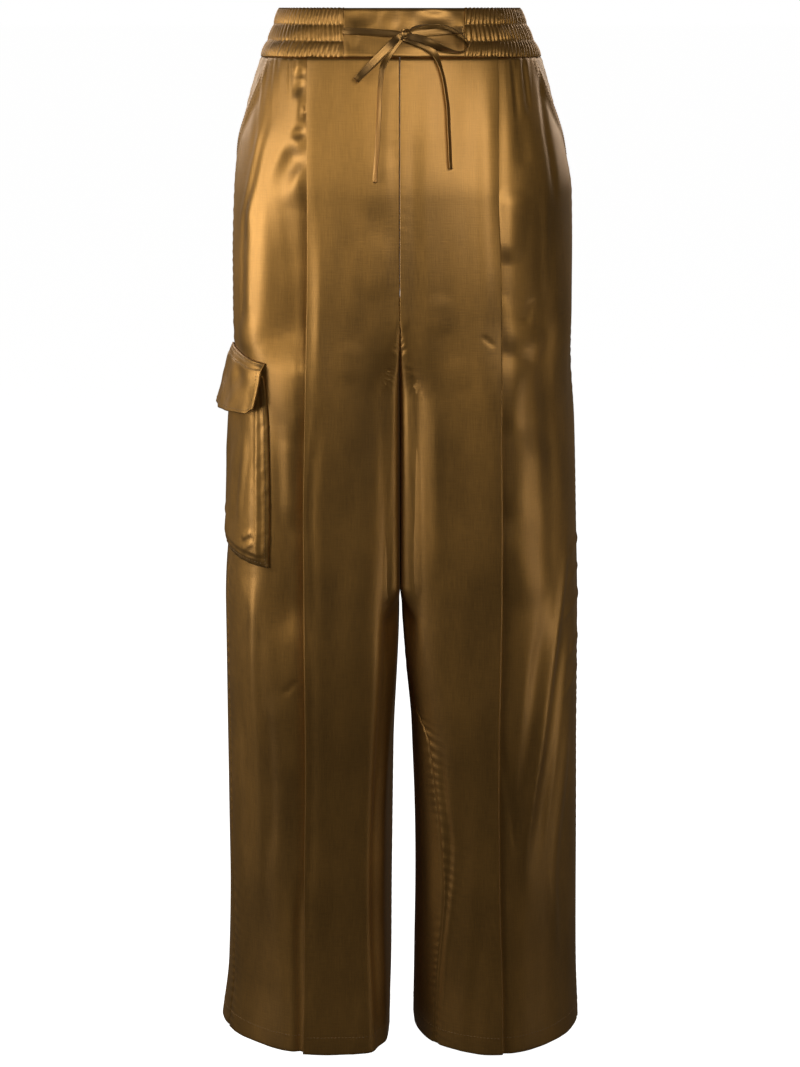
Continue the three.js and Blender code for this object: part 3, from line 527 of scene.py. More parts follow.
def gather_relief(seed, z, across, low, high, spacing, rise, reach):
    """Uneven gathers that run down from the waistband and fade out."""
    rng = np.random.default_rng(seed)
    total = np.zeros_like(across)
    at = float(np.min(low))
    end = float(np.max(high))
    down = WAIST_SEAM - z
    while at < end:
        width = spacing * rng.uniform(0.55, 1.5)
        size = rise * rng.uniform(0.35, 1.25)
        length = reach * rng.uniform(0.4, 1.6)
        drift = rng.uniform(-0.08, 0.08)
        centre = at + width / 2 + drift * down
        t = np.clip(np.abs(across - centre) / (width * 0.62), 0, 1)
        total += size * (1 - t ** 2) ** 2 * (1 - smooth(down / length))
        at += width
    edge = smooth((across - low) / 6) * smooth((high - across) / 6)
    return (total - 0.4 * rise * (1 - smooth(down / reach))) * edge


def band_tuck(z):
    """How far the cloth is pushed in at the top, where the waistband laps over it."""
    return BAND_TUCK * smooth((z - BAND_TUCK_FROM) / BAND_TUCK_RUN)


def pocket_reach(side, z):
    """How far the slanted mouth lies from the side seam."""
    down = np.clip((WAIST_SEAM - z) / (WAIST_SEAM - POCKET_MOUTH_END), 0, 1)
    return POCKET_REACH[side] * (1 - down ** 2)


def gape_relief(side, z, across, outside):
    """The mouth's edge stands off a little, most at its middle."""
    mouth = outside - pocket_reach(side, z)
    middle = np.sin(math.pi * np.clip((WAIST_SEAM - z) / (WAIST_SEAM - POCKET_MOUTH_END), 0, 1))
    return POCKET_GAPE * middle * (1 - smooth((mouth - across) / 16))


def seam_relief(seed, z, gap, depth, pucker, pitch=10.5, width=2.2):
    """The dip along a seam, with the small puckers of its stitching. gap is the distance from it."""
    rng = np.random.default_rng(seed)
    a, b, c = rng.uniform(0, 6.28, 3)
    phase = 2 * math.pi * z / pitch + 2.8 * np.sin(z / 41 + a) + 1.9 * np.sin(z / 14.3 + b)
    size = np.clip(0.4 + 0.4 * np.sin(z / 63 + c) + 0.35 * np.sin(z / 27 + 2 * c), 0, 1)
    ripple = pucker * size * np.sin(phase + gap / 6) * smooth(gap / 2.5) * np.exp(-gap / 7)
    return ripple - depth * (1 - smooth(gap / width))


POCKET_CLEAR = 6


def under_pocket(z, to_seam):
    """1 on the cloth that the cargo pocket and its flap cover, and 0 clear of them."""
    rows = smooth((z - (CARGO_BOTTOM - POCKET_CLEAR)) / 8) * smooth((FLAP_TOP + POCKET_CLEAR - z) / 8)
    return rows * smooth((FLAP_HALF_TOP + POCKET_CLEAR - to_seam) / 8)


SEEDS = {"frontR": 11, "frontL": 23, "backR": 37, "backL": 53}


def panel_relief(panel, z, across, inside, outside):
    """Everything that stands off the plain skin. z, inside and outside are columns, and across a grid."""
    side, part = panel[-1], panel[:-1]
    seed = SEEDS[panel]
    to_inner = across + inside
    to_outer = outside - across
    mouth = to_outer - pocket_reach(side, z) if part == "front" else to_outer
    relief = fold_relief(panel, z, across, to_inner, to_outer)
    calm = smooth((WAIST_SEAM - z) / 50)
    fine = 0.32 * waves(seed, across, z, ((40, 90), (340, 800)), 5) * calm
    fine += 0.07 * waves(seed + 1, across, z, ((15, 30), (120, 260)), 5) * calm
    fine *= smooth(to_inner / 10) * smooth(mouth / 10)
    if part == "front":
        relief += pleat_relief(z, across)
        relief += gape_relief(side, z, across, outside)
        fine *= smooth(np.abs(across) / 9)
        fine += gather_relief(seed + 2, z, across, np.full_like(inside, 5.0), outside - pocket_reach(side, z),
                              spacing=10, rise=0.8, reach=62)
    else:
        fine += gather_relief(seed + 2, z, across, -inside, outside, spacing=8, rise=1.0, reach=80)
    covered = under_pocket(z, to_outer) if side == "R" else 0
    below_mouth = smooth((POCKET_MOUTH_END - z) / 10) if part == "front" else 1
    fine += seam_relief(seed + 3, z, to_outer, depth=0.9, pucker=0.7, pitch=11.0) * below_mouth
    centre_seam = smooth((z - CROTCH_POINT) / 30)
    depth = mix(0.9, CENTRE_STEP[side] if part == "front" else 0.9, centre_seam)
    fine += seam_relief(seed + 4, z, to_inner, depth, pucker=mix(0.6, 0.16, centre_seam),
                        width=mix(2.2, 1.1, centre_seam))
    return relief + fine * (1 - covered)


def panel_points(panel, rows, across, lift, height=None):
    """Points [row, column, xyz] of a panel's face, lifted off it, in millimetres, and the normals."""
    side, part = panel[-1], panel[:-1]
    inside, outside = edges_of(side, part, rows)
    base, normal = base_rows(side, part, rows, across)
    z = rows[:, None]
    relief = panel_relief(panel, z, across, inside[:, None], outside[:, None])
    # From the crotch down to where the legs part, their inner walls touch along one wavy face.
    touching = smooth((CROTCH_TOP - z) / 20) * smooth((z - LEGS_PART) / 40)
    inner_wall = touching * smooth((-normal[..., 0] - 0.6) / 0.35)
    relief = mix(relief, base[..., 0] - LEG_TOUCH, inner_wall) + lift
    flat = base + normal * relief[..., None]
    mirror = -1 if side == "R" else 1
    x = np.maximum(CENTRE_GAP[part], flat[..., 0])
    sway = LEG_SWAY * np.sin(flat[..., 1] / 7) * smooth((-normal[..., 0] - 0.8) / 0.2) * touching
    heights = np.broadcast_to(z if height is None else height, x.shape)
    out = np.stack([mirror * x + sway, flat[..., 1], heights], axis=-1)
    normals = np.stack([mirror * normal[..., 0], normal[..., 1], np.zeros_like(x)], axis=-1)
    return out, normals


def seam_points(rows, along, lift):
    """Points measured along the girth from the right side seam: negative is in front of it."""
    _, front_out = edges_of("R", "front", rows)
    _, back_out = edges_of("R", "back", rows)
    front, front_n = base_rows("R", "front", rows, front_out[:, None] + np.minimum(along, 0))
    back, back_n = base_rows("R", "back", rows, back_out[:, None] - np.maximum(along, 0))
    z = rows[:, None]
    front_girth = front_out[:, None] + along
    back_girth = back_out[:, None] - along
    clear = np.full(along.shape, 100.0)
    front_fold = fold_relief("frontR", z, front_girth, clear, -along) + pleat_relief(z, front_girth)
    back_fold = fold_relief("backR", z, back_girth, clear, along)
    is_front = (along <= 0)[..., None]
    base = np.where(is_front, front, back)
    normal = np.where(is_front, front_n, back_n)
    relief = np.where(along <= 0, front_fold, back_fold) + lift
    flat = base + normal * relief[..., None]
    out = np.stack([-flat[..., 0], flat[..., 1], np.broadcast_to(z, along.shape)], axis=-1)
    normals = np.stack([-normal[..., 0], normal[..., 1], np.zeros(along.shape)], axis=-1)
    return out, normals


def seam_grid(heights, along, lift):
    """The same for a grid whose rows aren't level, read off a level grid. lift is a grid too."""
    rows = spaced(np.max(heights), np.min(heights), 2)
    columns = spaced(np.min(along), np.max(along), 1)
    base, normals = seam_points(rows, np.broadcast_to(columns, (len(rows), len(columns))), 0.0)
    row = np.interp(-heights, -rows, np.arange(len(rows)))
    column = np.interp(along, columns, np.arange(len(columns)))
    i = np.minimum(row.astype(int), len(rows) - 2)
    j = np.minimum(column.astype(int), len(columns) - 2)
    down, aside = (row - i)[..., None], (column - j)[..., None]

    def read(table):
        upper = mix(table[i, j], table[i, j + 1], aside)
        lower = mix(table[i + 1, j], table[i + 1, j + 1], aside)
        return mix(upper, lower, down)

    facing = read(normals)
    facing /= np.linalg.norm(facing, axis=-1)[..., None]
    return read(base) + facing * lift[..., None], facing


# Meshes

def strip(a, b):
    """Triangles between two lines of points, which may differ in number."""
    faces = []
    i = j = 0
    while i < len(a) - 1 or j < len(b) - 1:
        next_a = (i + 0.5) / (len(a) - 1)
        next_b = (j + 0.5) / (len(b) - 1)
        if j == len(b) - 1 or (i < len(a) - 1 and next_a <= next_b):
            faces.append((a[i + 1], a[i], b[j]))
            i += 1
        else:
            faces.append((a[i], b[j], b[j + 1]))
            j += 1
    return faces


def grid_faces(index):
    a, b = index[:-1, :-1], index[1:, :-1]
    c, d = index[1:, 1:], index[:-1, 1:]
    return np.stack([a.ravel(), b.ravel(), c.ravel(), d.ravel()], axis=1)


def make_object(name, points, quads, triangles, uv, material):
    """points in millimetres and uv in millimetres of cloth. Faces are turned so that they face outwards.
    The quads are smooth, and the triangles that close an edge or an end stay crisp."""
    points = np.asarray(points, dtype=float)
    quads = np.asarray(quads, dtype=int).reshape(-1, 4)
    triangles = np.asarray(triangles, dtype=int).reshape(-1, 3)
    halves = np.concatenate([quads[:, [0, 1, 2]], quads[:, [0, 2, 3]], triangles])
    corners = points[halves] - points.mean(axis=0)
    volume = np.sum(corners[:, 0] * np.cross(corners[:, 1], corners[:, 2]))
    if volume < 0:
        quads, triangles = quads[:, ::-1], triangles[:, ::-1]
    mesh = bpy.data.meshes.new(name)
    mesh.from_pydata(points / 1000, [], [*map(tuple, quads.tolist()), *map(tuple, triangles.tolist())])
    mesh.polygons.foreach_set("use_smooth", np.arange(len(mesh.polygons)) < len(quads))
    layer = mesh.uv_layers.new(name="cloth")
    corner_of = np.zeros(len(mesh.loops), dtype=int)
    mesh.loops.foreach_get("vertex_index", corner_of)
    layer.data.foreach_set("uv", (np.asarray(uv)[corner_of] / 100).ravel())
    mesh.update()
    mesh.materials.append(material)
    made = bpy.data.objects.new(name, mesh)
    bpy.context.scene.collection.objects.link(made)
    return made


def wall_object(name, outer, inner, uv_outer, uv_inner, material):
    """A closed sheet between an outer grid and a coarser inner one, joined all round."""
    rows, columns = outer.shape[:2]
    inner_rows, inner_columns = inner.shape[:2]
    out = np.arange(rows * columns).reshape(rows, columns)
    inn = rows * columns + np.arange(inner_rows * inner_columns).reshape(inner_rows, inner_columns)
    quads = np.concatenate([grid_faces(out), grid_faces(inn)[:, ::-1]])
    rims = strip(list(out[:, 0]), list(inn[:, 0]))
    rims += strip(list(out[-1, :]), list(inn[-1, :]))
    rims += strip(list(out[::-1, -1]), list(inn[::-1, -1]))
    rims += strip(list(out[0, ::-1]), list(inn[0, ::-1]))
    points = np.concatenate([outer.reshape(-1, 3), inner.reshape(-1, 3)])
    uv = np.concatenate([uv_outer.reshape(-1, 2), uv_inner.reshape(-1, 2)])
    return make_object(name, points, quads, rims, uv, material)


def worn(made, nodes=()):
    """Every piece rides the one body. nodes are the solids that it takes the place of."""
    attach(made, "root")
    if nodes:
        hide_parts(*nodes)


def thinned(count, step):
    return np.unique(np.r_[np.arange(0, count, step), count - 1])


# Materials

def satin(name, base, rough=0.46, metallic=0.90, weave=1.0):
    """Glossy woven satin: fine upright threads, a fainter weft, and slow changes of tone and gloss."""
    material = bpy.data.materials.new(name)
    material.use_nodes = True
    nodes, links = material.node_tree.nodes, material.node_tree.links
    shader = nodes["Principled BSDF"]
    cloth = nodes.new("ShaderNodeUVMap")
    cloth.uv_map = "cloth"

    def noise(scale, detail):
        place = nodes.new("ShaderNodeMapping")
        place.inputs["Scale"].default_value = (scale[0], scale[1], 1)
        texture = nodes.new("ShaderNodeTexNoise")
        texture.noise_dimensions = "2D"
        texture.inputs["Scale"].default_value = 1.0
        texture.inputs["Detail"].default_value = detail
        links.new(cloth.outputs["UV"], place.inputs["Vector"])
        links.new(place.outputs["Vector"], texture.inputs["Vector"])
        return texture.outputs["Fac"]

    def blended(a, b, share):
        node = nodes.new("ShaderNodeMix")
        node.inputs["Factor"].default_value = share
        links.new(a, node.inputs[2])
        links.new(b, node.inputs[3])
        return node.outputs[0]

    def ranged(value, low, high, out_low, out_high):
        node = nodes.new("ShaderNodeMapRange")
        node.inputs["From Min"].default_value = low
        node.inputs["From Max"].default_value = high
        node.inputs["To Min"].default_value = out_low
        node.inputs["To Max"].default_value = out_high
        links.new(value, node.inputs["Value"])
        return node.outputs["Result"]

    warp = noise((110, 5), 3.0)
    weft = noise((7, 95), 3.0)
    threads = blended(warp, weft, 0.42)
    patches = noise((2.2, 0.9), 2.0)

    ramp = nodes.new("ShaderNodeValToRGB")
    for stop, place, tone in zip(ramp.color_ramp.elements, (0.30, 0.72), (0.80, 1.18)):
        stop.position = place
        stop.color = (*(c * tone for c in base), 1)
    links.new(blended(threads, patches, 0.35), ramp.inputs["Fac"])
    links.new(ramp.outputs["Color"], shader.inputs["Base Color"])
    links.new(ranged(blended(patches, threads, 0.4), 0.3, 0.7, rough - 0.05, rough + 0.06),
              shader.inputs["Roughness"])

    bump = nodes.new("ShaderNodeBump")
    bump.inputs["Strength"].default_value = 0.30 * weave
    bump.inputs["Distance"].default_value = 0.0004
    links.new(threads, bump.inputs["Height"])
    links.new(bump.outputs["Normal"], shader.inputs["Normal"])
    around = nodes.new("ShaderNodeTangent")
    around.direction_type = "UV_MAP"
    around.uv_map = "cloth"
    links.new(around.outputs["Tangent"], shader.inputs["Tangent"])
    shader.inputs["Anisotropic"].default_value = 0.5
    shader.inputs["Metallic"].default_value = metallic
    shader.inputs["Sheen Weight"].default_value = 0.08
    shader.inputs["Sheen Roughness"].default_value = 0.45
    shader.inputs["Sheen Tint"].default_value = (1.0, 0.72, 0.42, 1)
    shader.inputs["Specular IOR Level"].default_value = 0.5
    shader.inputs["Coat Weight"].default_value = 0.35
    shader.inputs["Coat Roughness"].default_value = 0.42
    return material


CLOTH = satin("satin_cloth", (0.375, 0.192, 0.042))
# The pocket facing is the cloth's own satin painted darker: painted shade for the recess behind each pocket
# mouth.
FACING_PAINTED_SHADE = satin("satin_facing_painted_shade", (0.30, 0.155, 0.034))
TIE = satin("satin_tie", (0.26, 0.135, 0.031), rough=0.40)
THREAD = satin("stitch_thread", (0.24, 0.135, 0.04), rough=0.5, metallic=0.15, weave=0.4)

# Camera: the photograph's viewing angle

CAMERA_LENS = 80.5
CAMERA_PLACE = (0, -2.4, 0.02)
CAMERA_AIM = (0, 0, -0.5)


def turned_to(place, aim):
    return (Vector(aim) - Vector(place)).to_track_quat("-Z", "Y").to_euler()


camera_data = bpy.data.cameras.new("camera")
camera_data.lens = CAMERA_LENS
camera_data.sensor_width = 36
camera = bpy.data.objects.new("camera", camera_data)
bpy.context.scene.collection.objects.link(camera)
camera.location = CAMERA_PLACE
camera.rotation_euler = turned_to(CAMERA_PLACE, CAMERA_AIM)
bpy.context.scene.camera = camera


# Drawstring: each side is one flat tie, from its exit through the knot, round its loop and to its end

def even_steps(curve, count):
    """The curve at evenly spaced places, and its length."""
    lengths = lengths_along(curve[:, :3])
    at = np.linspace(0, lengths[-1], count)
    return np.stack([np.interp(at, lengths, curve[:, k]) for k in range(curve.shape[1])], axis=1), lengths[-1]


def ribbon_sides(line, lean):
    """The way that the ribbon's width points at each step, kept from turning over."""
    tangents = np.gradient(line, axis=0)
    tangents /= np.linalg.norm(tangents, axis=1)[:, None]
    last = None
    sides = []
    for tangent, angle in zip(tangents, np.radians(lean)):
        flat = np.array([-tangent[2], 0, tangent[0]])
        level = np.linalg.norm(flat) > 0.35 or last is None
        width = flat / np.linalg.norm(flat) * math.cos(angle) if level else last.copy()
        if last is not None and level and angle < 1 and width @ last < 0:
            width = -width
        if level:
            width = width + np.array([0, math.sin(angle), 0])
        width = width - tangent * (width @ tangent)
        width /= np.linalg.norm(width)
        if last is not None and width @ last < 0:
            width = -width
        sides.append(width)
        last = width
    sides = np.array(sides)
    for _ in range(6):
        sides[1:-1] = (sides[:-2] + 2 * sides[1:-1] + sides[2:]) / 4
        sides -= tangents * np.sum(sides * tangents, axis=1)[:, None]
        sides /= np.linalg.norm(sides, axis=1)[:, None]
    return tangents, sides


RIBBON_PROFILE = np.array([
    (-1.0, 0.0), (-0.97, 0.36), (-0.86, 0.46), (-0.74, 0.36), (-0.4, 0.47), (0.0, 0.5), (0.4, 0.47),
    (0.74, 0.36), (0.86, 0.46), (0.97, 0.36), (1.0, 0.0), (0.97, -0.36), (0.86, -0.46), (0.74, -0.36),
    (0.4, -0.47), (0.0, -0.5), (-0.4, -0.47), (-0.74, -0.36), (-0.86, -0.46), (-0.97, -0.36),
])
RIBBON_STEPS = 230
RIBBON_THICK = 1.0
RIBBON_CUP = 0.35
PINCH_REACH = 8.5
PINCH = 0.38


def ribbon_object(name, rows, seed):
    """A flat tie that follows the rows of a route and is drawn in at the knot."""
    steps = RIBBON_STEPS
    curve, length = even_steps(smooth_route(rows), steps)
    line = curve[:, :3]
    tangents, sides = ribbon_sides(line, curve[:, 3])
    faces_out = np.cross(tangents, sides)
    rng = np.random.default_rng(seed)
    at = np.linspace(0, length, steps)
    sway = 0.25 * np.sin(at / 13 + rng.uniform(0, 6)) + 0.15 * np.sin(at / 5.3 + rng.uniform(0, 6))
    half = np.full(steps, CORD_WIDTH / 2) * (1 + 0.05 * np.sin(at / 17 + rng.uniform(0, 6)))
    half *= 1 - PINCH * np.exp(-(np.linalg.norm(line - KNOT_CENTRE, axis=1) / PINCH_REACH) ** 2)
    half[0] *= 0.9
    half[-1] *= 0.86
    points, uv = [], []
    for i in range(steps):
        u = RIBBON_PROFILE[:, 0]
        v = RIBBON_PROFILE[:, 1] * RIBBON_THICK + (sway[i] + RIBBON_CUP * math.sin(at[i] / 31)) * u ** 2
        points.append(line[i] + np.outer(u * half[i], sides[i]) + np.outer(v, faces_out[i]))
        uv.append(np.stack([u * CORD_WIDTH / 2, np.full_like(u, at[i])], axis=1))
    sections = len(RIBBON_PROFILE)
    index = np.arange(steps * sections).reshape(steps, sections)
    index = np.concatenate([index, index[:, :1]], axis=1)
    quads = grid_faces(index)
    points = np.concatenate(points + [line[:1], line[-1:]])
    uv = np.concatenate(uv + [[[0, 0]], [[0, length]]])
    first, last = steps * sections, steps * sections + 1
    caps = [(first, index[0, k + 1], index[0, k]) for k in range(sections)]
    caps += [(last, index[-1, k], index[-1, k + 1]) for k in range(sections)]
    return make_object(name, points, quads, caps, uv, TIE), line, length


def tie(name, rows, seed, *nodes):
    """Makes one half of the drawstring and gives its middle line and its length in metres as well."""
    made, line, length = ribbon_object(name, rows, seed)
    worn(made, nodes)
    path = line[np.linspace(0, len(line) - 1, 60).astype(int)] / 1000
    return made, path, length / 1000


# Each band's turn about Y, half width, reach along X, depth along Y, height along Z and shift
KNOT_BANDS = [
    (24, 2.9, 6.2, 3.4, 4.8, (0.4, 0.0, 0.2)),
    (-38, 2.5, 5.4, 3.0, 5.2, (-1.8, 0.2, -0.6)),
    (78, 2.3, 5.8, 2.6, 5.4, (2.2, 0.3, 0.8)),
]


def knot_piece():
    """The crossing of the two ties: three folded bands, wrapped over each other."""
    points, quads, triangles, uv = [], [], [], []
    turns, across = 40, 9
    for turn, half, reach, depth, height, shift in KNOT_BANDS:
        angle = math.radians(turn)
        start = len(points)
        for i in range(turns):
            around = 2 * math.pi * i / turns
            for j in range(across):
                u = mix(-1, 1, j / (across - 1))
                crease = 0.28 * math.cos(u * 7 + 2 * around) * (1 - u * u)
                swell = 1 + crease / 5 - 0.30 * u * u
                x = u * half
                y = -depth * swell * math.cos(around)
                z = height * swell * math.sin(around)
                px = x * math.cos(angle) - z * math.sin(angle)
                pz = x * math.sin(angle) + z * math.cos(angle)
                px *= reach / 6
                points.append(KNOT_CENTRE + np.array([px, y, pz]) + np.array(shift))
                uv.append((x, around * 5))
        index = start + np.arange(turns * across).reshape(turns, across)
        index = np.concatenate([index, index[:1]], axis=0)
        quads.append(grid_faces(index))
        for edge in (0, across - 1):
            centre = len(points)
            middle = np.mean([points[index[i, edge]] for i in range(turns)], axis=0)
            points.append(middle)
            uv.append((0, 0))
            for i in range(turns):
                pair = (index[i, edge], index[i + 1, edge])
                triangles.append((*(pair if edge else pair[::-1]), centre))
    made = make_object("drawstring_knot_cloth", np.array(points), np.concatenate(quads), triangles,
                       np.array(uv), TIE)
    worn(made, ["drawstring_knot"])
    return made


tie_right, path_right, length_right = tie(
    "tie_right", CORD_RIGHT, 5, "drawstring_lead_right", "drawstring_loop_right", "drawstring_end_right")
tie_left, path_left, length_left = tie(
    "tie_left", CORD_LEFT, 6, "drawstring_lead_left", "drawstring_loop_left", "drawstring_end_left")
knot_cloth = knot_piece()


# Stitching: one small spindle for each stitch, joined into one piece along a line

STITCH_ENDS_IN = 0.12
STITCH_RISE = 0.16
STITCH_FLATNESS = 0.8


def stitch_rows(name, lines, pitch, length, width):
    """lines are (points, normals) in millimetres along each row of stitching."""
    points, quads, triangles, uv = [], [], [], []
    for line, normals in lines:
        lengths = lengths_along(line)
        count = max(1, int(lengths[-1] / pitch))
        for k in range(count):
            middle = (k + 0.5) * lengths[-1] / count
            at = np.array([middle - length / 2, middle, middle + length / 2])
            spine = np.stack([np.interp(at, lengths, line[:, c]) for c in range(3)], axis=1)
            normal = np.array([np.interp(middle, lengths, normals[:, c]) for c in range(3)])
            normal /= np.linalg.norm(normal)
            ahead = spine[2] - spine[0]
            ahead /= max(1e-9, np.linalg.norm(ahead))
            side = np.cross(normal, ahead)
            first = len(points)
            points.append(spine[0] - normal * STITCH_ENDS_IN)
            for share in (0.25, 0.75):
                centre = spine[0] + (spine[2] - spine[0]) * share + normal * STITCH_RISE
                for a, b in ((1, 0), (0, 1), (-1, 0), (0, -1)):
                    points.append(centre + side * a * width + normal * b * width * STITCH_FLATNESS)
            points.append(spine[2] - normal * STITCH_ENDS_IN)
            uv.extend([(0, 0)] * 10)
            near = [first + 1 + q for q in range(4)]
            far = [first + 5 + q for q in range(4)]
            for q in range(4):
                n = (q + 1) % 4
                triangles.append((first, near[n], near[q]))
                quads.append((near[q], near[n], far[n], far[q]))
                triangles.append((first + 9, far[q], far[n]))
    worn(make_object(name, np.array(points), quads, triangles, np.array(uv, dtype=float), THREAD))


# Leg panels

PANEL_THICK = 0.8
HEM_ROLL = 1.0
HEM_TURN = 20
HEM_BEND = np.radians([22, 45, 68, 90, 112, 135, 158, 180])
HEM_WAVE_ABOVE = 60

ROWS = np.concatenate([
    [-15.4, -16.6, -17.6, -18.4, -19.4],
    spaced(-21, -1025, 2.25),
])
EDGE_OFFSETS = np.array([0, 0.5, 1.1, 2.0, 3.2, 4.8, 6.8])
PLEAT_OFFSETS = np.array([-6.4, -4.6, -3.2, -2.1, -1.2, -0.5, 0.0, 0.4, 0.8, 1.2, 1.6, 2.3, 3.2, 4.6, 6.4])
COLUMNS_INSIDE = 44
COLUMNS_OUTSIDE = 40
COLUMNS_BACK = 96


def panel_columns(side, part, rows):
    """Places along the girth for each row: closest together at the edges and at the pleat."""
    inside, outside = edges_of(side, part, rows)
    last = outside - pocket_reach(side, rows) if part == "front" else outside
    out = []
    for low, high in zip(-inside, last):
        first, end = low + EDGE_OFFSETS, high - EDGE_OFFSETS[::-1]
        if part == "front":
            middle = [np.linspace(first[-1], PLEAT_OFFSETS[0], COLUMNS_INSIDE)[1:-1], PLEAT_OFFSETS,
                      np.linspace(PLEAT_OFFSETS[-1], end[0], COLUMNS_OUTSIDE)[1:-1]]
        else:
            middle = [np.linspace(first[-1], end[0], COLUMNS_BACK)[1:-1]]
        out.append(np.concatenate([first, *middle, end]))
    return np.array(out)


def leg_panel(panel, node):
    """One leg panel: its outer face, the turn of its hem and a coarser face inside."""
    side, part = panel[-1], panel[:-1]
    name = node + "_cloth"
    turn = HEM_BEND
    up = np.linspace(0, HEM_TURN, 6)[1:]
    rows = np.concatenate([ROWS, np.full(len(turn), ROWS[-1]), ROWS[-1] + up])
    heights = np.concatenate([ROWS, ROWS[-1] - HEM_ROLL * np.sin(turn), ROWS[-1] + up])
    roll = np.concatenate([np.zeros(len(ROWS)), -HEM_ROLL * (1 - np.cos(turn)),
                           np.full(len(up), -2 * HEM_ROLL)])
    way = np.concatenate([np.ones(len(ROWS)), np.cos(turn), -np.ones(len(up))])
    rise = np.concatenate([np.zeros(len(ROWS)), np.sin(turn), np.zeros(len(up))])
    drop = roll - band_tuck(rows)
    across = panel_columns(side, part, rows)
    wave = 0.5 * np.sin(across / 23) + 0.35 * np.sin(across / 9.4 + 1)
    sag = wave * smooth((HEM + HEM_WAVE_ABOVE - heights) / HEM_WAVE_ABOVE)[:, None]
    outer, _ = panel_points(panel, rows, across, drop[:, None], heights[:, None] + sag)
    pick_r, pick_c = thinned(len(rows), 5), thinned(across.shape[1], 3)
    inner, _ = panel_points(panel, rows[pick_r], across[pick_r][:, pick_c],
                            (drop - PANEL_THICK * way)[pick_r][:, None],
                            (heights + PANEL_THICK * rise)[pick_r][:, None] + sag[pick_r][:, pick_c])
    down = np.concatenate([[0], np.cumsum(np.abs(np.diff(heights)) + np.abs(np.diff(roll)))])
    uv = cloth_uv(across, -down[:, None])
    made = wall_object(name, outer, inner, uv, uv[pick_r][:, pick_c], CLOTH)
    worn(made, [node])


leg_panel("frontR", "front_right")
leg_panel("frontL", "front_left")
leg_panel("backR", "back_right")
leg_panel("backL", "back_left")


# Pocket facings: the cloth behind each slanted mouth

FACING_TOP = -16
FACING_BOTTOM = -124


def facing_piece(side, node):
    """The cloth behind a pocket mouth. along is the girth from the side seam, negative towards the front."""
    rows = spaced(FACING_TOP, FACING_BOTTOM, 2.2)
    z = rows[:, None]
    _, out_front = edges_of(side, "front", rows)
    reach = pocket_reach(side, rows)[:, None]
    low = -reach - FACING_TUCK
    along = mix(low, 0.0, np.linspace(0, 1, 30)[None, :])
    inset = FACING_INSET - (FACING_INSET - 0.2) * smooth((along + reach - 4) / 30) * smooth(reach / 20)
    puckers = 0.5 * waves(71, along, z, ((14, 30), (16, 40))) * smooth(-along / 6)
    base, normal = base_rows(side, "front", rows, out_front[:, None] + along)
    mirror = -1 if side == "R" else 1

    def lifted(lift):
        flat = base + normal * lift[..., None]
        return np.stack([mirror * flat[..., 0], flat[..., 1], np.broadcast_to(z, along.shape)], axis=-1)

    dip = seam_relief(72, z, -along, depth=0.8, pucker=0.5)
    tuck = band_tuck(z)
    outer = lifted(-inset + puckers * 0.6 + dip - tuck)
    inner = lifted(-inset + puckers * 0.6 - tuck - 1.0)
    uv = cloth_uv(along, z)
    # The facing takes the darker satin, which is painted shade for the recess behind the mouth.
    made = wall_object(node + "_cloth", outer, inner, uv, uv, FACING_PAINTED_SHADE)
    worn(made, [node])


facing_piece("R", "pocket_facing_right")
facing_piece("L", "pocket_facing_left")


# Waistband

def band_ring(z):
    """The whole ring of the waist at a height, from the centre front round by the left."""
    halves = {(s, p): section(s, p, z)[0] for s in "LR" for p in ("front", "back")}
    flip = np.array([-1, 1])
    points = np.concatenate([
        halves["L", "front"],
        halves["L", "back"][:-1][::-1],
        (halves["R", "back"] * flip)[1:],
        (halves["R", "front"] * flip)[:-1][::-1],
    ])
    return points, lengths_along(points)


def band_rows(rows, along, lift):
    """Points and normals of the waistband's face. along is the girth from the centre front, leftwards."""
    points = np.zeros(along.shape + (3,))
    normals = np.zeros(along.shape + (3,))
    for i, z in enumerate(rows):
        line, lengths = band_ring(z)
        total = lengths[-1]
        base = point_on(line, lengths, along[i] % total)
        before = point_on(line, lengths, (along[i] - NORMAL_REACH) % total)
        after = point_on(line, lengths, (along[i] + NORMAL_REACH) % total)
        normal = normals_from(before, after)
        points[i, :, :2] = base + normal * lift[i][:, None]
        points[i, :, 2] = z
        normals[i, :, :2] = normal
    return points, normals


BAND_HEIGHT = WAIST_TOP - WAIST_SEAM
BAND_COLUMNS = 860
BAND_FRONT_COLUMNS = 110
GATHER_SPACING = 4.3
CHANNEL_LEANS = (2.2, -1.2, 3.0)


def channel_relief(z):
    """The rise of the three sewn channels, and how near a row of stitching a height is."""
    v = (WAIST_TOP - z) / BAND_HEIGHT * CHANNELS
    inside = np.abs(np.sin(math.pi * v))
    return 1.5 * inside ** 0.55 - 0.6, np.exp(-((v - np.round(v)) / 0.10) ** 2)


def gather_warp(seed, along):
    """Counts uneven gathers along the band: whole numbers fall in the pinched valleys."""
    rng = np.random.default_rng(seed)
    steps = GATHER_SPACING * rng.uniform(0.6, 1.45, 400)
    marks = np.concatenate([[0], np.cumsum(steps)])
    return np.interp(along - np.min(along), marks, np.arange(len(marks)))


def band_gathers(z, along):
    v = (WAIST_TOP - z) / BAND_HEIGHT * CHANNELS
    total = np.zeros_like(along)
    weights = np.zeros_like(along)
    for channel, lean in enumerate(CHANNEL_LEANS):
        shifted = along + lean * (v - channel - 0.5) + 0.8 * np.sin(along / 19 + channel * 2)
        count = gather_warp(90 + channel, np.maximum(shifted, BAND_FRONT_L - 6))
        puff = np.abs(np.sin(math.pi * count)) ** 0.7
        weight = np.clip(1.15 - np.abs(v - channel - 0.5) * 1.9, 0.0, 1) + 1e-4
        total += puff * weight
        weights += weight
    return total / weights


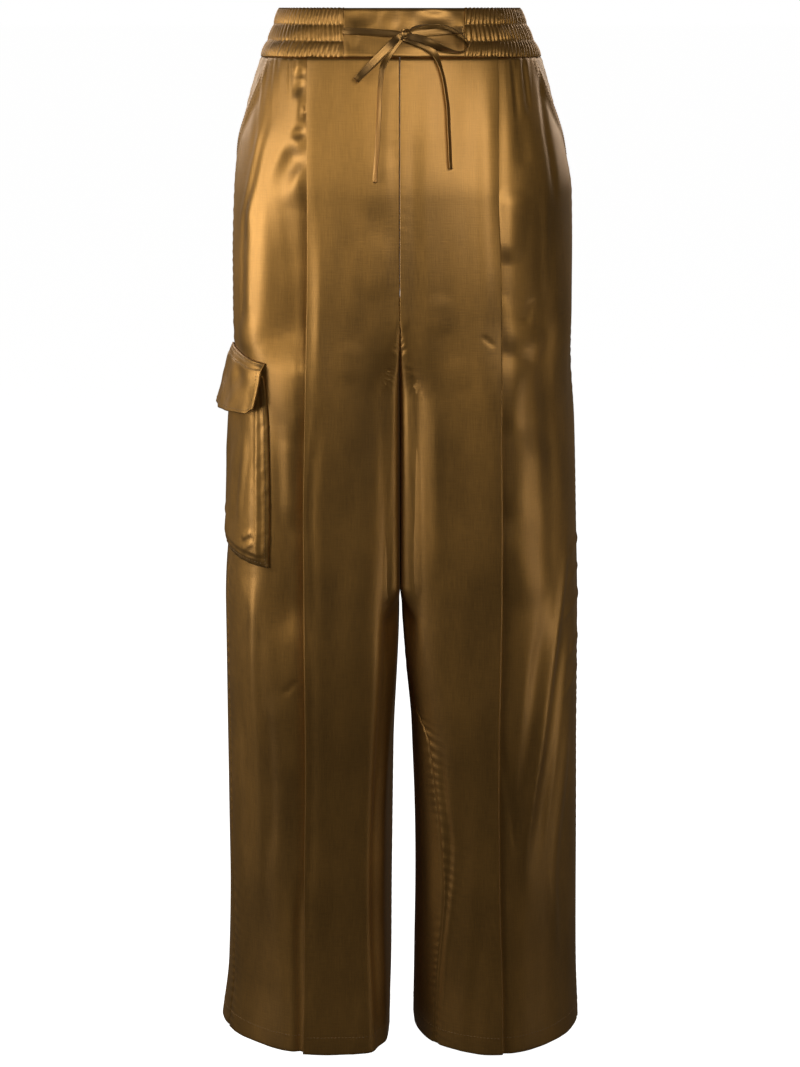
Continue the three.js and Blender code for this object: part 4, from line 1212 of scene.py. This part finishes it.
def band_back():
    """The elasticated band: three puffed channels with uneven gathers, from one side of the front round to
    the other."""
    total = band_ring((WAIST_TOP + WAIST_SEAM) / 2)[1][-1]
    rows = spaced(WAIST_TOP, WAIST_SEAM + 0.2, 1.15)
    share = np.linspace(0, 1, BAND_COLUMNS)[None, :]
    along = np.array([mix(BAND_FRONT_L, band_ring(z)[1][-1] + BAND_FRONT_R, share[0]) for z in rows])
    z = rows[:, None]
    rise, near = channel_relief(z)
    nominal = mix(BAND_FRONT_L, total + BAND_FRONT_R, share) + np.zeros_like(z)
    puff = band_gathers(z, nominal)
    ends = smooth((nominal - BAND_FRONT_L) / 5) * smooth((total + BAND_FRONT_R - nominal) / 5)
    slow = 0.5 * waves(97, nominal, z, ((24, 60), (40, 90)))
    depth = mix(1.7, 1.0, near)
    lift = rise + (puff - 0.75) * depth * ends + slow * (1 - near) * 0.5
    ruffle = smooth((z - (WAIST_TOP - 5)) / 5) * (puff - 0.5) * 1.1
    under = smooth((WAIST_SEAM + 5 - z) / 5) * (puff - 0.5) * 0.9
    outer, normals = band_rows(rows, along, lift)
    outer[..., 2] += ruffle - under
    pick_r, pick_c = thinned(len(rows), 2), thinned(along.shape[1], 2)
    inside = (-2.4 - 0.4 * rise + np.zeros_like(lift))[pick_r][:, pick_c]
    inner, _ = band_rows(rows[pick_r], along[pick_r][:, pick_c], inside)
    uv = cloth_uv(along, z)
    made = wall_object("waistband_back_cloth", outer, inner, uv, uv[pick_r][:, pick_c], CLOTH)
    worn(made, ["waistband_back"])
    lines = []
    for row in (1, 2):
        height = WAIST_TOP - BAND_HEIGHT * row / CHANNELS
        i = int(np.argmin(np.abs(rows - height)))
        lines.append((outer[i], normals[i]))
    stitch_rows("waistband_stitches", lines, pitch=3.0, length=1.9, width=0.3)


# Each dent's middle, along the girth and in height, its half width, half height and depth
BAND_DENTS = [
    (-36, 20, 15, 12, -1.9), (32, 19, 22, 13, -1.6), (-8, 17, 10, 10, 1.1),
    (58, 2, 8, 14, -0.9), (-44, 2, 8, 12, 0.7), (20, -8, 30, 8, 0.5),
]


def band_front():
    """The smooth front of the band, rolled at both edges and dented where the tie pulls it."""
    rows = spaced(WAIST_TOP, WAIST_SEAM + 0.2, 1.2)
    along = np.tile(np.linspace(BAND_FRONT_R, BAND_FRONT_L, BAND_FRONT_COLUMNS), (len(rows), 1))
    z = rows[:, None]
    edge = smooth((along - BAND_FRONT_R) / 4) * smooth((BAND_FRONT_L - along) / 4)
    roll = -1.0 * (1 - smooth((WAIST_TOP - z) / 2.5)) - 0.9 * (1 - smooth((z - WAIST_SEAM) / 2.2))
    soft = 0.35 * waves(81, along, z, ((30, 60), (30, 60)), 3)
    dent = np.zeros_like(along)
    for x0, z0, half_x, half_z, depth in BAND_DENTS:
        t = np.clip(((along - x0) / half_x) ** 2 + ((z - z0) / half_z) ** 2, 0, 1)
        dent += depth * (1 - t) ** 2
    lift = (soft + dent) * edge + roll + 0.5
    outer, _ = band_rows(rows, along, lift)
    inner, _ = band_rows(rows, along, np.full_like(lift, -2.2))
    uv = cloth_uv(along, z)
    made = wall_object("waistband_front_cloth", outer, inner, uv, uv, CLOTH)
    worn(made, ["waistband_front"])


band_back()
band_front()


# Cargo pocket and flap on the right leg. A place on a crease is its height and its girth from the side seam.

POCKET_CREASES = [
    ([(-378, -50), (-430, -42), (-476, -34)], 9, 1.5),
    ([(-478, -60), (-488, -44)], 5, 1.2),
    ([(-488, -62), (-500, -44)], 5, 1.1),
    ([(-372, 8), (-440, 0), (-490, -8)], 16, -1.3),
    ([(-380, 46), (-450, 38)], 10, 1.2),
    ([(-462, 56), (-480, 36)], 6, 1.0),
]
# Each ridge or groove of the sides: how far in from the edge, its width and its rise
BELLOWS = [(3.4, 1.6, 0.6), (7.4, 1.8, -0.9), (11.2, 1.9, 0.5), (15.2, 2.2, -0.3)]
POCKET_ROWS = 100
POCKET_COLUMNS = 96
FLAP_ROWS = 46
FLAP_COLUMNS = 100


def pocket_piece():
    """A bellows patch. Its bottom edge rises towards the back, and its sides stand off in two folds."""
    down = np.linspace(0, 1, POCKET_ROWS)[:, None]
    along = np.linspace(-CARGO_HALF, CARGO_HALF, POCKET_COLUMNS)
    along = np.broadcast_to(along, (POCKET_ROWS, POCKET_COLUMNS))
    bottom = CARGO_BOTTOM + CARGO_SLANT * (1 + along / CARGO_HALF) / 2
    heights = mix(CARGO_TOP, bottom, down)
    above = heights - bottom
    side = CARGO_HALF - np.abs(along)
    mouth = mix(1.2, 3.2, smooth((CARGO_TOP - heights) / 40))
    puff = mouth * smooth(side / 10) * smooth(above / 10)
    bellows = smooth(above / 14) * sum(rise * np.exp(-((side - place) / width) ** 2)
                                       for place, width, rise in BELLOWS)
    seam = -1.1 * np.exp(-((above - 9) / 1.8) ** 2) * smooth(side / 8)
    folds = 0.6 * waves(61, along, heights, ((26, 60), (60, 150)), 5)
    folds *= smooth(side / 20) * smooth(above / 20)
    creases = np.zeros_like(heights)
    for route, half_width, depth in POCKET_CREASES:
        creases += one_fold(route, half_width, depth, 0.2, heights, along)
    pucker = 0.35 * waves(62, along, heights, ((9, 16), (9, 18))) * np.exp(-np.minimum(side, above) / 8)
    lift = np.maximum(0.7 + puff + bellows + seam + folds + creases * smooth(side / 10) + pucker, 0.6)
    outer, normals = seam_grid(heights, along, lift + 1.0)
    inner, _ = seam_grid(heights, along, lift - 0.1)
    uv = np.stack([along, heights], axis=-1)
    made = wall_object("cargo_pocket_cloth", outer, inner, uv, uv, CLOTH)
    worn(made, ["cargo_pocket"])
    lines = [(outer[:, j], normals[:, j]) for j in (2, along.shape[1] - 3)]
    lines.append((outer[-3], normals[-3]))
    stitch_rows("cargo_pocket_stitches", lines, pitch=3.3, length=2.3, width=0.3)


def flap_piece():
    """The flap flares from its top seam and has slanted ends, clipped corners and a stitched groove."""
    down = np.linspace(0, 1, FLAP_ROWS)[:, None]
    share = np.linspace(-1, 1, FLAP_COLUMNS)[None, :]
    slant = np.abs(share)
    half = mix(FLAP_HALF_TOP, FLAP_HALF_BOTTOM, down)
    top = FLAP_TOP - FLAP_TOP_DROP * slant
    corner = 5 * smooth((slant - 0.86) / 0.14)
    bottom = FLAP_BOTTOM + FLAP_BOTTOM_RISE * slant + corner
    heights = mix(top, bottom, down)
    along = share * half
    kick = 0.7 + FLAP_FLARE * down + 2.4 * smooth(down / 0.16)
    ripple = 0.9 * waves(65, along, heights, ((28, 60), (60, 120))) * smooth(down / 0.35)
    groove = -0.7 * np.exp(-((down - 0.13) / 0.035) ** 2)
    lift = kick + np.maximum(ripple, -0.8) + groove * smooth((1 - slant) / 0.05)
    outer, normals = seam_grid(heights, along, lift + 1.2)
    inner, _ = seam_grid(heights, along, lift)
    uv = np.stack([along, heights], axis=-1)
    made = wall_object("cargo_flap_cloth", outer, inner, uv, uv, CLOTH)
    worn(made, ["cargo_flap"])
    lines = [(outer[2], normals[2]), (outer[7], normals[7])]
    for j in (3, along.shape[1] - 4):
        lines.append((outer[8:, j], normals[8:, j]))
    lines.append((outer[-4], normals[-4]))
    stitch_rows("cargo_flap_stitches", lines, pitch=3.2, length=2.2, width=0.3)


pocket_piece()
flap_piece()


# Hem stitching and pocket mouth stitching

SEAM_CLEAR = 0.4
HEM_STITCHES_UP = 18
MOUTH_STITCHES_IN = (2.2, 8)


def level_line(panel, z):
    """Points and normals along a panel at one height."""
    inside, outside = edges_of(panel[-1], panel[:-1], np.array([z]))
    across = np.linspace(-inside[0] + SEAM_CLEAR, outside[0] - SEAM_CLEAR, 260)[None, :]
    points, normals = panel_points(panel, np.array([z]), across, 0.0)
    return points[0], normals[0]


def mouth_line(side, gap):
    """Points and normals along a pocket mouth, a gap in from its edge."""
    rows = spaced(-21, POCKET_MOUTH_END + 2, 2.0)
    _, outside = edges_of(side, "front", rows)
    across = (outside - pocket_reach(side, rows) - gap)[:, None]
    points, normals = panel_points("front" + side, rows, across, 0.0)
    return points[:, 0], normals[:, 0]


stitch_rows("hem_stitches", [level_line(panel, HEM + HEM_STITCHES_UP) for panel in SEEDS],
            pitch=3.6, length=2.5, width=0.26)
stitch_rows("pocket_mouth_stitches", [mouth_line(side, gap) for side in "RL" for gap in MOUTH_STITCHES_IN],
            pitch=3.2, length=2.2, width=0.26)

# Floor, backdrop and light

FLOOR_REACH = 300
FLOOR_HEIGHT = -1.10

floor_mesh = bpy.data.meshes.new("floor")
floor_corners = [(FLOOR_REACH * x, FLOOR_REACH * y, FLOOR_HEIGHT)
                 for x, y in ((-1, -1), (1, -1), (1, 1), (-1, 1))]
floor_mesh.from_pydata(floor_corners, [], [(0, 1, 2, 3)])
floor = bpy.data.objects.new("floor", floor_mesh)
bpy.context.scene.collection.objects.link(floor)
floor_material = bpy.data.materials.new("floor_white")
floor_material.use_nodes = True
floor_nodes, floor_links = floor_material.node_tree.nodes, floor_material.node_tree.links
floor_shader = floor_nodes["Principled BSDF"]
floor_shader.inputs["Base Color"].default_value = (0.8, 0.8, 0.8, 1)
floor_shader.inputs["Roughness"].default_value = 0.9
floor_shader.inputs["Emission Color"].default_value = (1, 1, 1, 1)
floor_ray = floor_nodes.new("ShaderNodeLightPath")
floor_glow = floor_nodes.new("ShaderNodeMapRange")
floor_glow.inputs["To Min"].default_value = 0.10
floor_glow.inputs["To Max"].default_value = 0.97
floor_links.new(floor_ray.outputs["Is Camera Ray"], floor_glow.inputs["Value"])
floor_links.new(floor_glow.outputs["Result"], floor_shader.inputs["Emission Strength"])
floor_mesh.materials.append(floor_material)
floor.visible_glossy = False
floor.visible_diffuse = False

world = bpy.data.worlds.new("studio")
bpy.context.scene.world = world
world.use_nodes = True
world_nodes, world_links = world.node_tree.nodes, world.node_tree.links
background = world_nodes["Background"]
seen = world_nodes.new("ShaderNodeBackground")
seen.inputs["Color"].default_value = (1, 1, 1, 1)
background.inputs["Color"].default_value = (1, 0.98, 0.95, 1)
background.inputs["Strength"].default_value = 0.03
ray = world_nodes.new("ShaderNodeLightPath")
switch = world_nodes.new("ShaderNodeMixShader")
world_links.new(ray.outputs["Is Camera Ray"], switch.inputs["Fac"])
world_links.new(background.outputs["Background"], switch.inputs[1])
world_links.new(seen.outputs["Background"], switch.inputs[2])
world_links.new(switch.outputs["Shader"], world_nodes["World Output"].inputs["Surface"])


def softbox(name, place, aim, size, watts):
    data = bpy.data.lights.new(name, "AREA")
    data.shape = "RECTANGLE"
    data.size, data.size_y = size
    data.energy = watts
    data.color = (1.0, 0.97, 0.92)
    light = bpy.data.objects.new(name, data)
    bpy.context.scene.collection.objects.link(light)
    light.location = place
    light.rotation_euler = turned_to(place, aim)


softbox("key_left", (-1.53, -0.77, 0.10), (0, 0, -0.25), (0.9, 0.9), 14.4)
softbox("key_front", (0.46, -1.65, 0.36), (0, 0, -0.15), (0.6, 0.5), 10.5)
softbox("low_left", (-1.7, -0.7, -0.5), (0, 0, -0.5), (0.4, 0.8), 6)
softbox("low_right", (1.8, -0.62, -0.95), (0, 0, -0.9), (0.4, 0.5), 3.0)
softbox("back_left", (-1.6, 1.9, 0.6), (0, 0, -0.3), (1.0, 1.2), 15)
softbox("back_right", (1.6, 1.9, 0.6), (0, 0, -0.3), (1.0, 1.2), 13)
bpy.context.scene.view_settings.view_transform = "Standard"
